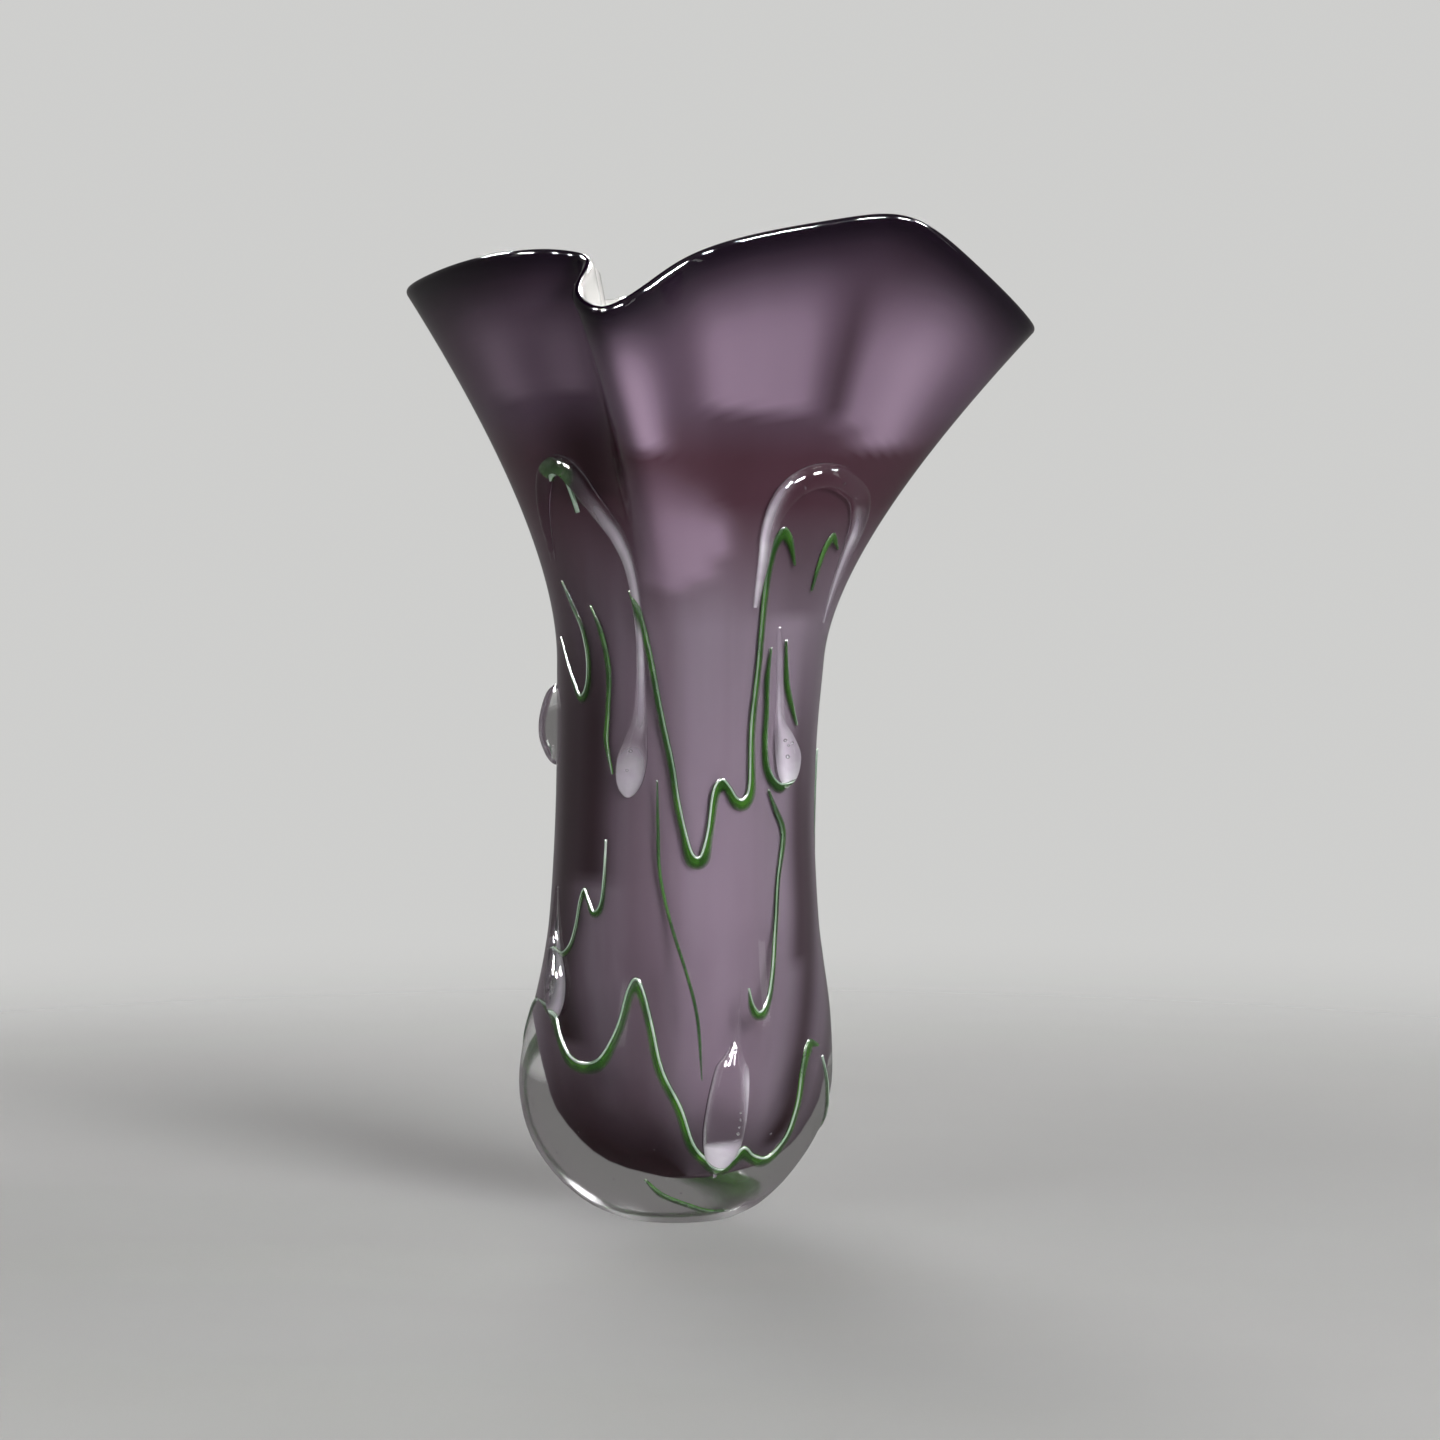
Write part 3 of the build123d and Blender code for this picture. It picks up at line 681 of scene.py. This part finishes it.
def glass_shell(outer, inner, lip_depths):
    """Points and faces of one closed layer between two surfaces, each face's row, and the row at
    which the inner surface starts."""
    turns = ring_turns()
    out_rings = [outer(turns, step) for step in wall_steps()]
    in_rings = [inner(turns, step) for step in wall_steps()]
    lip_rings = [lip_ring(turns, depth) for depth in lip_depths]
    rings = disc_rings(out_rings[0], DISC_SHARES) + out_rings + lip_rings
    inner_start = len(rings) - 1
    rings += in_rings[::-1] + disc_rings(in_rings[0], DISC_SHARES[::-1])
    faces = strip_faces(len(rings), RING_POINTS)
    rows = [i // RING_POINTS for i in range(len(faces))]
    first = list(range(RING_POINTS))
    faces += [tuple(first[::-1]), tuple(i + (len(rings) - 1) * RING_POINTS for i in first)]
    rows += [0, len(rings) - 1]
    return np.concatenate(rings), faces, np.array(rows), inner_start


def inset_cup(depth):
    """The surface a depth inside the boundary of casing and amethyst."""

    def surface(turns, step):
        return inset(cup_outside, turns, step, depth)

    return surface


def skin(turns, step):
    """The casing's outside, which stands on the floor at step 0."""
    return inset(outside, turns, step, SKIN if step > 0 else 0)


def patches(table, points, angles):
    """How much of a table's patches reaches each point."""
    heights = points[:, 2]
    total = np.zeros(len(points))
    for angle, low, high, spread, strength in table:
        turn = (angles - angle + 180) % 360 - 180
        bottom = ramp(heights, low, low + PATCH_EDGE)
        top = ramp(high - heights, 0, PATCH_FADE * (high - low))
        total += strength * eased(bottom) * eased(top) * np.exp(-((turn / spread) ** 2))
    return np.minimum(total, 1)


def below_lip(points):
    """How far each point of a shell lies below the lip, in millimetres."""
    rounds = len(points) // RING_POINTS
    return np.linalg.norm(points - np.tile(lip_at(ring_turns())[1], (rounds, 1)), axis=1)


# ---- strands on the casing ----
def filled_in(rows):
    """The rows of a route with smooth rows added between them."""
    rows = np.array(rows, float)
    last = len(rows) - 1
    filled = []
    for row in range(last):
        a, b, c, d = (rows[min(max(row + i, 0), last)] for i in (-1, 0, 1, 2))
        for i in range(SPAN_SECTIONS):
            u = i / SPAN_SECTIONS
            bend = a - 2.5 * b + 2 * c - d / 2
            filled.append(b + u * (c - a) / 2 + u**2 * bend + u**3 * (1.5 * (b - c) + (d - a) / 2))
    return np.array(filled + [rows[-1]])


def casing_slopes(rows):
    """The casing's slopes by angle and by height, and its outward direction, along a route."""
    angles, heights, reach = rows[:, 0], rows[:, 1], GLASS_REACH
    by_angle = on_casing(angles + reach, heights) - on_casing(angles - reach, heights)
    by_height = on_casing(angles, heights + reach) - on_casing(angles, heights - reach)
    outward = np.cross(by_angle, by_height)
    return by_angle, by_height, outward / np.linalg.norm(outward, axis=1)[:, None]


def frames(rows):
    """Places on the casing along a route, the directions to its left and outward there, and the
    casing's slopes by angle and by height."""
    places = on_casing(rows[:, 0], rows[:, 1])
    by_angle, by_height, outward = casing_slopes(rows)
    across = np.cross(outward, np.gradient(places, axis=0))
    across /= np.linalg.norm(across, axis=1)[:, None]
    return places, across, outward, by_angle, by_height


def moved(rows, frame_rows, sideways, lift):
    """Points beside a route: sideways to the left of its travel along the glass, and lifted."""
    _, across, outward, by_angle, by_height = frame_rows
    wide, tall, skew = (by_angle**2).sum(1), (by_height**2).sum(1), (by_angle * by_height).sum(1)
    to_angle, to_height = (across * by_angle).sum(1), (across * by_height).sum(1)
    area = wide * tall - skew**2
    turn = sideways * (to_angle * tall - to_height * skew) / area
    climb = sideways * (to_height * wide - to_angle * skew) / area
    on_glass = on_casing(rows[:, 0] + turn, rows[:, 1] + climb)
    return on_glass + outward * lift[:, None]


def strand_mesh(rows):
    """A closed strand along filled-in rows of (angle, height, width, rise, shift). Its crown
    is round and its underside lies just off the casing. Returns its points, faces, whether each
    face is on the underside, point values, and the places of its sections."""
    frame_rows = frames(rows)
    width, rise, shift = rows[:, 2], rows[:, 3], rows[:, 4]
    across = np.cos(np.linspace(0, math.pi, CROWN_POINTS))
    crown = np.sqrt(np.maximum(1 - across**2, 0))
    across = np.concatenate([across, across[-2:0:-1]])
    crown = np.pad(crown, (0, CROWN_POINTS - 2))
    columns = len(across)
    lines = []
    for x, high in zip(across, crown):
        lines.append(moved(rows, frame_rows, shift + width / 2 * x, BOND_GAP + rise * high))
    values = {
        "across": np.tile(across, len(rows)),
        "along": np.repeat(np.arange(len(rows)) / (len(rows) - 1), columns),
    }
    points = np.stack(lines, 1).reshape(-1, 3)
    faces = strip_faces(len(rows), columns)
    under = [i % columns >= CROWN_POINTS - 1 for i in range(len(faces))]
    last = (len(rows) - 1) * columns
    ends = [tuple(range(columns))[::-1], tuple(range(last, last + columns))]
    return points, faces + ends, under + [False, False], values, frame_rows[0]


def pooled(rows, width):
    """The width of a green band along a filled-in route: it pools where the route turns."""
    travel = np.gradient(on_casing(rows[:, 0], rows[:, 1]), axis=0)
    before, after = np.roll(travel, TURN_SPAN, axis=0), np.roll(travel, -TURN_SPAN, axis=0)
    turn = abs((np.cross(before, after) * casing_slopes(rows)[2]).sum(1))
    turn /= np.linalg.norm(before, axis=1) * np.linalg.norm(after, axis=1)
    turn[: TURN_SPAN + 1] = 0
    turn[-TURN_SPAN - 1 :] = 0
    spread = np.hanning(2 * SPAN_SECTIONS + 1)
    tight = np.convolve(np.clip(turn * POOL_GAIN, 0, 1), spread / spread.sum(), mode="same")
    sections = np.arange(len(rows))
    ends = np.minimum(sections, sections[::-1]) / SPAN_SECTIONS
    return width * (1 + GREEN_POOL * tight) * np.clip(between((BAND_END, 1), ends), 0, 1)


def bubble(angle, height, lift, radius):
    """Points and faces of a round bubble, lifted off the casing or sunk into it. Its faces look
    at the air inside it."""
    rows = np.array([(angle, height)], float)
    centre = (on_casing(rows[:, 0], rows[:, 1]) + casing_slopes(rows)[2] * lift)[0]
    rounds = BUBBLE_SIDES // 2
    points = [centre + np.array((0, 0, radius))]
    for i in range(1, rounds):
        down = math.pi * i / rounds
        for j in range(BUBBLE_SIDES):
            around = 2 * math.pi * j / BUBBLE_SIDES
            flat = radius * math.sin(down)
            reach = (flat * math.cos(around), flat * math.sin(around), radius * math.cos(down))
            points.append(centre + np.array(reach))
    points.append(centre - np.array((0, 0, radius)))
    last = len(points) - 1
    faces = []
    for j in range(BUBBLE_SIDES):
        beside = (j + 1) % BUBBLE_SIDES
        faces.append((0, 1 + beside, 1 + j))
        bottom = last - BUBBLE_SIDES
        faces.append((last, bottom + j, bottom + beside))
        for ring in range(rounds - 2):
            here, below = 1 + ring * BUBBLE_SIDES, 1 + (ring + 1) * BUBBLE_SIDES
            faces.append((here + j, here + beside, below + beside, below + j))
    return np.array(points), faces


def with_bubbles(points, faces, places):
    """A mesh's points and faces, followed by those of the bubbles in it."""
    for place in places:
        more, sides = bubble(*place)
        faces = faces + [tuple(i + len(points) for i in side) for side in sides]
        points = np.concatenate([points, more])
    return points, faces


# ---- materials ----
class Nodes:
    """A short way to write node trees."""

    def __init__(self, name):
        self.material = bpy.data.materials.new(name)
        self.material.use_nodes = True
        self.tree = self.material.node_tree
        self.tree.nodes.clear()
        self.out = self.tree.nodes.new("ShaderNodeOutputMaterial")

    def put(self, socket, value):
        """Links a socket to another node's output, or sets its value."""
        if isinstance(value, bpy.types.NodeSocket):
            self.tree.links.new(value, socket)
        else:
            socket.default_value = value

    def add(self, kind, inputs=None, **settings):
        node = self.tree.nodes.new(kind)
        for key, value in settings.items():
            setattr(node, key, value)
        for key, value in (inputs or {}).items():
            self.put(node.inputs[key], value)
        return node

    def value(self, name):
        """A named point attribute of the mesh."""
        return self.add("ShaderNodeAttribute", attribute_name=name).outputs["Fac"]

    def noise(self, scale, detail, stretch=(1, 1, 1)):
        """Noise in the vase's own frame, drawn out along an axis whose stretch is below 1."""
        place = self.add("ShaderNodeTexCoord").outputs["Object"]
        placed = self.add("ShaderNodeMapping", {"Vector": place, "Scale": stretch}).outputs[0]
        inputs = {"Vector": placed, "Scale": scale, "Detail": detail}
        return self.add("ShaderNodeTexNoise", inputs).outputs["Fac"]

    def mix(self, share, first, second):
        """The first colour where share is 0, and the second where it is 1."""
        inputs = {0: share, 6: first, 7: second}
        return self.add("ShaderNodeMix", inputs, data_type="RGBA").outputs[2]

    def ranged(self, value, low, high, start=0.0, finish=1.0):
        """A value that eases from start at low to finish at high."""
        inputs = {"Value": value, "From Min": low, "From Max": high, "To Min": start, "To Max": finish}
        return self.add("ShaderNodeMapRange", inputs, interpolation_type="SMOOTHSTEP").outputs[0]

    def bump(self, height, strength, distance):
        inputs = {"Height": height, "Strength": strength, "Distance": distance}
        return self.add("ShaderNodeBump", inputs).outputs[0]

    def faded(self, share, shader):
        """The shader where share is 1, and nothing where it is 0."""
        clear = self.add("ShaderNodeBsdfTransparent").outputs[0]
        return self.add("ShaderNodeMixShader", {0: share, 1: clear, 2: shader}).outputs[0]

    def finish(self, shader):
        self.tree.links.new(shader, self.out.inputs["Surface"])
        return self.material


def colour(red, green, blue):
    """An opaque colour."""
    return (red, green, blue, 1.0)


def clear_glass(name, wave):
    """Clear glass that casts only a faint shadow, with the slight waviness of hand work."""
    nodes = Nodes(name)
    waves = nodes.bump(nodes.noise(38, 2, (1, 1, 0.5)), wave, 0.002)
    inputs = {
        "Base Color": colour(1, 1, 1),
        "Roughness": 0.06,
        "IOR": 1.5,
        "Transmission Weight": 1.0,
        "Normal": waves,
    }
    glass = nodes.add("ShaderNodeBsdfPrincipled", inputs)
    shade = nodes.add("ShaderNodeBsdfTransparent", {"Color": colour(0.93, 0.92, 0.94)})
    shadow = nodes.add("ShaderNodeLightPath").outputs["Is Shadow Ray"]
    mixed = nodes.add("ShaderNodeMixShader", {0: shadow, 1: glass.outputs[0], 2: shade.outputs[0]})
    return nodes.finish(mixed.outputs[0])


def bond(name):
    """Where two pieces of clear glass are fused, so that nothing shows between them."""
    nodes = Nodes(name)
    return nodes.finish(nodes.add("ShaderNodeBsdfTransparent").outputs[0])


def amethyst(name):
    """Amethyst over opal white: lavender, with patches of painted light, patches of painted shade and
    a maroon band of painted shade up the flare, and nearly black where it gathers at the lip. Streaks
    run up the wall, as the glass was drawn."""
    nodes = Nodes(name)
    streaks = nodes.ranged(nodes.noise(30, 4, (1, 1, 0.06)), 0.32, 0.68)
    clouds = nodes.ranged(nodes.noise(16, 3, (1, 1, 0.4)), 0.3, 0.7)
    body = nodes.mix(streaks, colour(0.18, 0.13, 0.165), colour(0.28, 0.225, 0.28))
    # painted shade: the maroon band up the flare
    band = nodes.mix(clouds, colour(0.075, 0.032, 0.045), colour(0.10, 0.046, 0.066))
    upper = nodes.mix(clouds, colour(0.10, 0.062, 0.09), colour(0.14, 0.09, 0.135))
    base = nodes.mix(nodes.value("flare"), body, band)
    base = nodes.mix(nodes.value("upper"), base, upper)
    # painted light: the lavender patches
    base = nodes.mix(nodes.value("light"), base, colour(0.44, 0.315, 0.43))
    # painted shade: the dark patches
    base = nodes.mix(nodes.value("dark"), base, colour(0.028, 0.010, 0.015))
    base = nodes.mix(nodes.value("rim"), base, colour(0.006, 0.002, 0.008))
    inputs = {"Base Color": base, "Roughness": 0.55, "Specular IOR Level": 0.0}
    return nodes.finish(nodes.add("ShaderNodeBsdfPrincipled", inputs).outputs[0])


def opal_white(name):
    """Opal white glass, dark at the lip, where the amethyst runs over it."""
    nodes = Nodes(name)
    milk = nodes.ranged(nodes.noise(18, 3, (1, 1, 0.3)), 0.3, 0.7)
    base = nodes.mix(milk, colour(0.76, 0.75, 0.73), colour(0.84, 0.83, 0.81))
    base = nodes.mix(nodes.value("rim"), base, colour(0.015, 0.008, 0.015))
    waves = nodes.bump(nodes.noise(40, 2), 0.15, 0.001)
    inputs = {"Base Color": base, "Roughness": 0.12, "Normal": waves}
    return nodes.finish(nodes.add("ShaderNodeBsdfPrincipled", inputs).outputs[0])


def green_glass(name):
    """Green glass pulled into a band: streaked along its length, and thinned out at one edge."""
    nodes = Nodes(name)
    streaks = nodes.ranged(nodes.noise(160, 4, (1, 1, 0.3)), 0.35, 0.65)
    base = nodes.mix(streaks, colour(0.014, 0.07, 0.005), colour(0.05, 0.17, 0.016))
    inputs = {"Base Color": base, "Roughness": 0.2, "Coat Weight": 1.0, "Coat Roughness": 0.03}
    solid = nodes.add("ShaderNodeBsdfPrincipled", inputs).outputs[0]
    edge = nodes.ranged(nodes.value("across"), -1.0, 0.1, 0.15, 0.95)
    return nodes.finish(nodes.faded(edge, solid))


def mint_glass(name):
    """Mint white glass, which is pulled so thin in places that it hardly shows."""
    nodes = Nodes(name)
    streaks = nodes.ranged(nodes.noise(160, 4, (1, 1, 0.3)), 0.35, 0.65)
    base = nodes.mix(streaks, colour(0.36, 0.50, 0.38), colour(0.58, 0.68, 0.60))
    inputs = {"Base Color": base, "Roughness": 0.25, "Coat Weight": 0.5, "Coat Roughness": 0.1}
    solid = nodes.add("ShaderNodeBsdfPrincipled", inputs).outputs[0]
    return nodes.finish(nodes.faded(nodes.value("shown"), solid))


def trail_glow(name):
    """Painted light under a clear trail, a pale lavender-white which thins out to nothing, and the
    line of painted shade where the trail's edge meets the wall."""
    nodes = Nodes(name)
    milk = nodes.ranged(nodes.noise(120, 3), 0.3, 0.7)
    base = nodes.mix(milk, colour(0.76, 0.68, 0.79), colour(0.92, 0.88, 0.95))
    # painted shade: the dark line along the trail's edge
    base = nodes.mix(nodes.value("edge"), base, colour(0.02, 0.01, 0.016))
    inputs = {"Base Color": base, "Roughness": 0.4, "Specular IOR Level": 0.0}
    solid = nodes.add("ShaderNodeBsdfPrincipled", inputs).outputs[0]
    inputs = {0: nodes.value("milk"), 1: nodes.value("edge")}
    share = nodes.add("ShaderNodeMath", inputs, operation="MAXIMUM").outputs[0]
    return nodes.finish(nodes.faded(share, solid))


# ---- pieces ----
def make_trails(glass, glow_paint):
    """The clear arches and drops. Returns the places and half widths of their sections."""
    covers = []
    for name, table in TRAILS.items():
        rows = [(angle, height, width, rise - TRAIL_SINK, 0) for angle, height, width, rise in table]
        rows = filled_in(rows)
        if name == "base_drop":
            rows[:, 2:4] *= np.interp(rows[:, 1], DRAWN_TAIL, (1, TAIL_SHARE))[:, None]
        points, faces, under, values, places = strand_mesh(rows)
        shares, *columns = np.array(TRAIL_GLOW[name]).T
        amount, middle, spread = (np.interp(values["along"], shares, column) for column in columns)
        # painted light under the trail
        values["milk"] = amount * np.exp(-(((values["across"] - middle) / spread) ** 2))
        bulk = np.repeat(ramp(rows[:, 2], *BULKY), len(points) // len(rows))
        # painted shade along the trail's edge
        values["edge"] = bulk * ramp(abs(values["across"]), *EDGE_LINE)
        points, faces = with_bubbles(points, faces, BUBBLES.get(name, []))
        under += [False] * (len(faces) - len(under))
        for key, numbers in values.items():
            values[key] = np.pad(numbers, (0, len(points) - len(numbers)))
        slot, materials = "clear_trail_glass", [glass, glow_paint]
        piece = add_piece(name + "_glass", points, faces, [name], materials, values)
        piece.data.polygons.foreach_set("material_index", np.array(under, int))
        piece.visible_diffuse = False  # so that the glass throws no bright rings on the floor
        covers += list(zip(places, rows[:, 2] / 2))
    return covers


def make_thread(name, kind, sections, material, shown=None):
    """One strand of a thread; shown says how much of it shows, as (share of its length, amount)."""
    points, faces, _, values, _ = strand_mesh(np.column_stack(sections))
    if shown:
        values["shown"] = np.interp(values["along"], *zip(*shown))
    node = name + "_" + kind
    add_piece(node + "_glass", points, faces, [node], [material], values)


def make_threads(green, white):
    """The green bands, and the mint white strand along the edge of each."""
    for name, (green_width, white_width, route) in THREADS.items():
        rows = filled_in(route)
        flat = np.zeros(len(rows))
        width = pooled(rows, green_width * GREEN_SPREAD)
        band = [rows, width, flat + THREAD_RISE, GREEN_TUCK * white_width - width / 2]
        make_thread(name, "green_thread", band, green)
        core = [rows, flat + white_width, flat + CORE_RISE, flat]
        make_thread(name, "white_core", core, white, FADED_WHITE.get(name, [(0, 1), (1, 1)]))


def covered(centres, covers):
    """True for the points of the casing that lie well under a clear trail."""
    hidden = np.zeros(len(centres), bool)
    for place, half_width in covers:
        near = ((centres - place) ** 2).sum(1) < (COVER_SHARE * half_width) ** 2
        hidden |= near & (half_width > COVER_LEAST)
    return hidden


def foot_seeds():
    """The seeds, as bubbles spread round the thick part of the foot."""
    for i in range(SEEDS):
        height = between(SEED_HEIGHTS, (i + 0.5) / SEEDS)
        depth = between(SEED_DEPTHS, (5 * i) % 7 / 7)
        radius = between(SEED_RADII, (3 * i) % 5 / 5)
        yield SEED_TURN * i, height, -depth, radius


def make_casing(glass, fused, covers):
    """The clear casing: its outside is glass, and it is fused where the amethyst or a trail is."""
    depths = np.linspace(SKIN, CASING_WALL, LIP_RINGS)
    points, faces, rows, inner_start = glass_shell(skin, cup_outside, depths)
    points, faces = with_bubbles(points, faces, foot_seeds())
    rows = np.pad(rows, (0, len(faces) - len(rows)))
    node, materials = "clear_casing", [glass, fused]
    piece = add_piece(node + "_glass", points, faces, [node], materials)
    centres = np.array([points[list(face)].mean(axis=0) for face in faces])
    slots = (rows >= inner_start) | covered(centres, covers)
    piece.data.polygons.foreach_set("material_index", slots.astype(int))
    piece.data.set_sharp_from_angle(angle=math.radians(SHARP_ANGLE))
    piece.visible_diffuse = False  # so that the glass throws no bright rings on the floor


def shell_values(points):
    """The numbers that colour the amethyst: its patches of painted light and painted shade, the
    painted shade band of the flare and the dark of the lip.
    """
    angles = np.tile(lip_at(ring_turns())[0] % 360, len(points) // RING_POINTS)
    return {
        # painted light and painted shade, patch by patch
        "light": patches(PAINTED_LIGHT_PATCHES, points, angles),
        "dark": patches(PAINTED_SHADE_PATCHES, points, angles),
        "flare": ramp(points[:, 2], *FLARE_SHADE_BAND),
        "upper": ramp(points[:, 2], *UPPER_FLARE),
        "rim": np.exp(-((below_lip(points) / RIM_REACH) ** 2)),
    }


def make_overlay(material):
    """The amethyst layer, a bond gap inside the casing."""
    depths = np.linspace(CASING_WALL + BOND_GAP, CASING_WALL + OVERLAY_WALL, OVERLAY_LIP_RINGS)
    points, faces = glass_shell(inset_cup(BOND_GAP), inset_cup(OVERLAY_WALL), depths)[:2]
    node, slot, values = "amethyst_overlay", "amethyst_glass", shell_values(points)
    add_piece(node + "_glass", points, faces, [node], [material], values)


def make_liner(material):
    """The white inside layer, a bond gap inside the amethyst."""
    depths = np.linspace(CASING_WALL + OVERLAY_WALL + BOND_GAP, WALL, LIP_RINGS)
    outer, inner = inset_cup(OVERLAY_WALL + BOND_GAP), inset_cup(OVERLAY_WALL + LINER_WALL)
    points, faces = glass_shell(outer, inner, depths)[:2]
    values = {"rim": 1 - ramp(below_lip(points), *LINER_RIM)}
    node, slot = "opal_liner", "opal_white_glass"
    add_piece(node + "_glass", points, faces, [node], [material], values)


# ---- studio ----
def make_floor():
    """A plain pale floor that fades into the backdrop."""
    points = [(0, 0, 0)]
    faces = []
    for i in range(FLOOR_SIDES):
        around = 2 * math.pi * i / FLOOR_SIDES
        points.append((FLOOR_RADIUS * math.cos(around), FLOOR_RADIUS * math.sin(around), 0))
        faces.append((0, i + 1, (i + 1) % FLOOR_SIDES + 1))
    mesh = bpy.data.meshes.new("floor")
    mesh.from_pydata((np.array(points) * MM).tolist(), [], faces)
    nodes = Nodes("pale_floor")
    cloud = nodes.ranged(nodes.noise(3, 4), 0.2, 0.8)
    base = nodes.mix(cloud, colour(0.56, 0.56, 0.55), colour(0.60, 0.60, 0.59))
    inputs = {"Base Color": base, "Roughness": 0.6, "Specular IOR Level": 0.0}
    shader = nodes.add("ShaderNodeBsdfPrincipled", inputs).outputs[0]
    place = nodes.add("ShaderNodeTexCoord").outputs["Object"]
    away = nodes.add("ShaderNodeVectorMath", {0: place}, operation="LENGTH").outputs["Value"]
    near = nodes.ranged(away, *FLOOR_FADE, 1.0, 0.0)
    mesh.materials.append(nodes.finish(nodes.faded(near, shader)))
    floor = bpy.data.objects.new("floor", mesh)
    floor.visible_glossy = False
    bpy.context.scene.collection.objects.link(floor)


def add_light(name, place, width, height, radiance, mirrored):
    """A soft box that faces the vase, with its brightness as a radiance. One that is mirrored
    shows as a reflection in the glass, and the others only light it."""
    light = bpy.data.lights.new(name, "AREA")
    light.shape = "RECTANGLE"
    light.size, light.size_y = width, height
    light.energy = radiance * math.pi * width * height
    light.cycles.use_multiple_importance_sampling = mirrored
    box = bpy.data.objects.new(name, light)
    box.location = place
    direction = np.array(LIGHTS_FACE) - np.array(place)
    flat = math.hypot(direction[0], direction[1])
    box.rotation_euler = (
        math.atan2(flat, -direction[2]),
        0,
        math.atan2(-direction[0], direction[1]),
    )
    box.visible_glossy = mirrored
    box.visible_diffuse = not mirrored
    box.visible_camera = False
    box.visible_transmission = False
    bpy.context.scene.collection.objects.link(box)


def make_world():
    """A dim room, darkest in front, that gives the glass quiet reflections. The camera itself
    sees a plain pale backdrop."""
    world = bpy.data.worlds.new("studio")
    bpy.context.scene.world = world
    world.use_nodes = True
    tree = world.node_tree
    direction = tree.nodes.new("ShaderNodeTexCoord").outputs["Generated"]
    spread = tree.nodes.new("ShaderNodeSeparateXYZ")
    tree.links.new(direction, spread.inputs[0])
    front = tree.nodes.new("ShaderNodeMapRange")
    front.interpolation_type = "SMOOTHSTEP"
    for key, number in zip(("From Min", "From Max"), ROOM_TURN):
        front.inputs[key].default_value = number
    for key, number in zip(("To Min", "To Max"), (ROOM_BACK, ROOM_FRONT)):
        front.inputs[key].default_value = number
    tree.links.new(spread.outputs["Y"], front.inputs["Value"])
    room = tree.nodes["Background"]
    room.inputs["Color"].default_value = colour(1.0, 0.98, 0.96)
    tree.links.new(front.outputs[0], room.inputs["Strength"])
    backdrop = tree.nodes.new("ShaderNodeBackground")
    backdrop.inputs["Color"].default_value = colour(0.62, 0.62, 0.61)
    seen = tree.nodes.new("ShaderNodeLightPath").outputs["Is Camera Ray"]
    mixed = tree.nodes.new("ShaderNodeMixShader")
    for socket, value in zip(mixed.inputs, (seen, room.outputs[0], backdrop.outputs[0])):
        tree.links.new(value, socket)
    tree.links.new(mixed.outputs[0], tree.nodes["World Output"].inputs["Surface"])


def make_lights():
    """The soft boxes round the vase and overhead."""
    for name, (place, width, height, radiance, mirrored) in LIGHTS.items():
        add_light(name, place, width, height, radiance, mirrored)
    for i, (x, y) in enumerate(CEILING):
        place = (x, y, CEILING_HEIGHT)
        add_light("ceiling_" + str(i), place, CEILING_WIDTH, CEILING_WIDTH, CEILING_RADIANCE, True)
    bpy.context.scene.view_settings.view_transform = "Standard"


def make_camera():
    """The camera stands in front of the vase, level with its flare, and looks slightly down."""
    data = bpy.data.cameras.new("camera")
    data.sensor_width = 36
    data.lens = 104.6
    camera = bpy.data.objects.new("camera", data)
    camera.location = (0.0158, -1.5, 0.265)
    camera.rotation_euler = (math.radians(86.69), 0, 0)
    bpy.context.scene.collection.objects.link(camera)
    bpy.context.scene.camera = camera


def main():
    covers = make_trails(clear_glass("trail_glass", 0.04), trail_glow("painted_trail_glow"))
    make_casing(clear_glass("casing_glass", 0.06), bond("fused_glass"), covers)
    make_overlay(amethyst("amethyst_overlay"))
    make_liner(opal_white("opal_white"))
    make_threads(green_glass("green_glass"), mint_glass("mint_glass"))
    make_floor()
    make_world()
    make_lights()
    make_camera()


main()
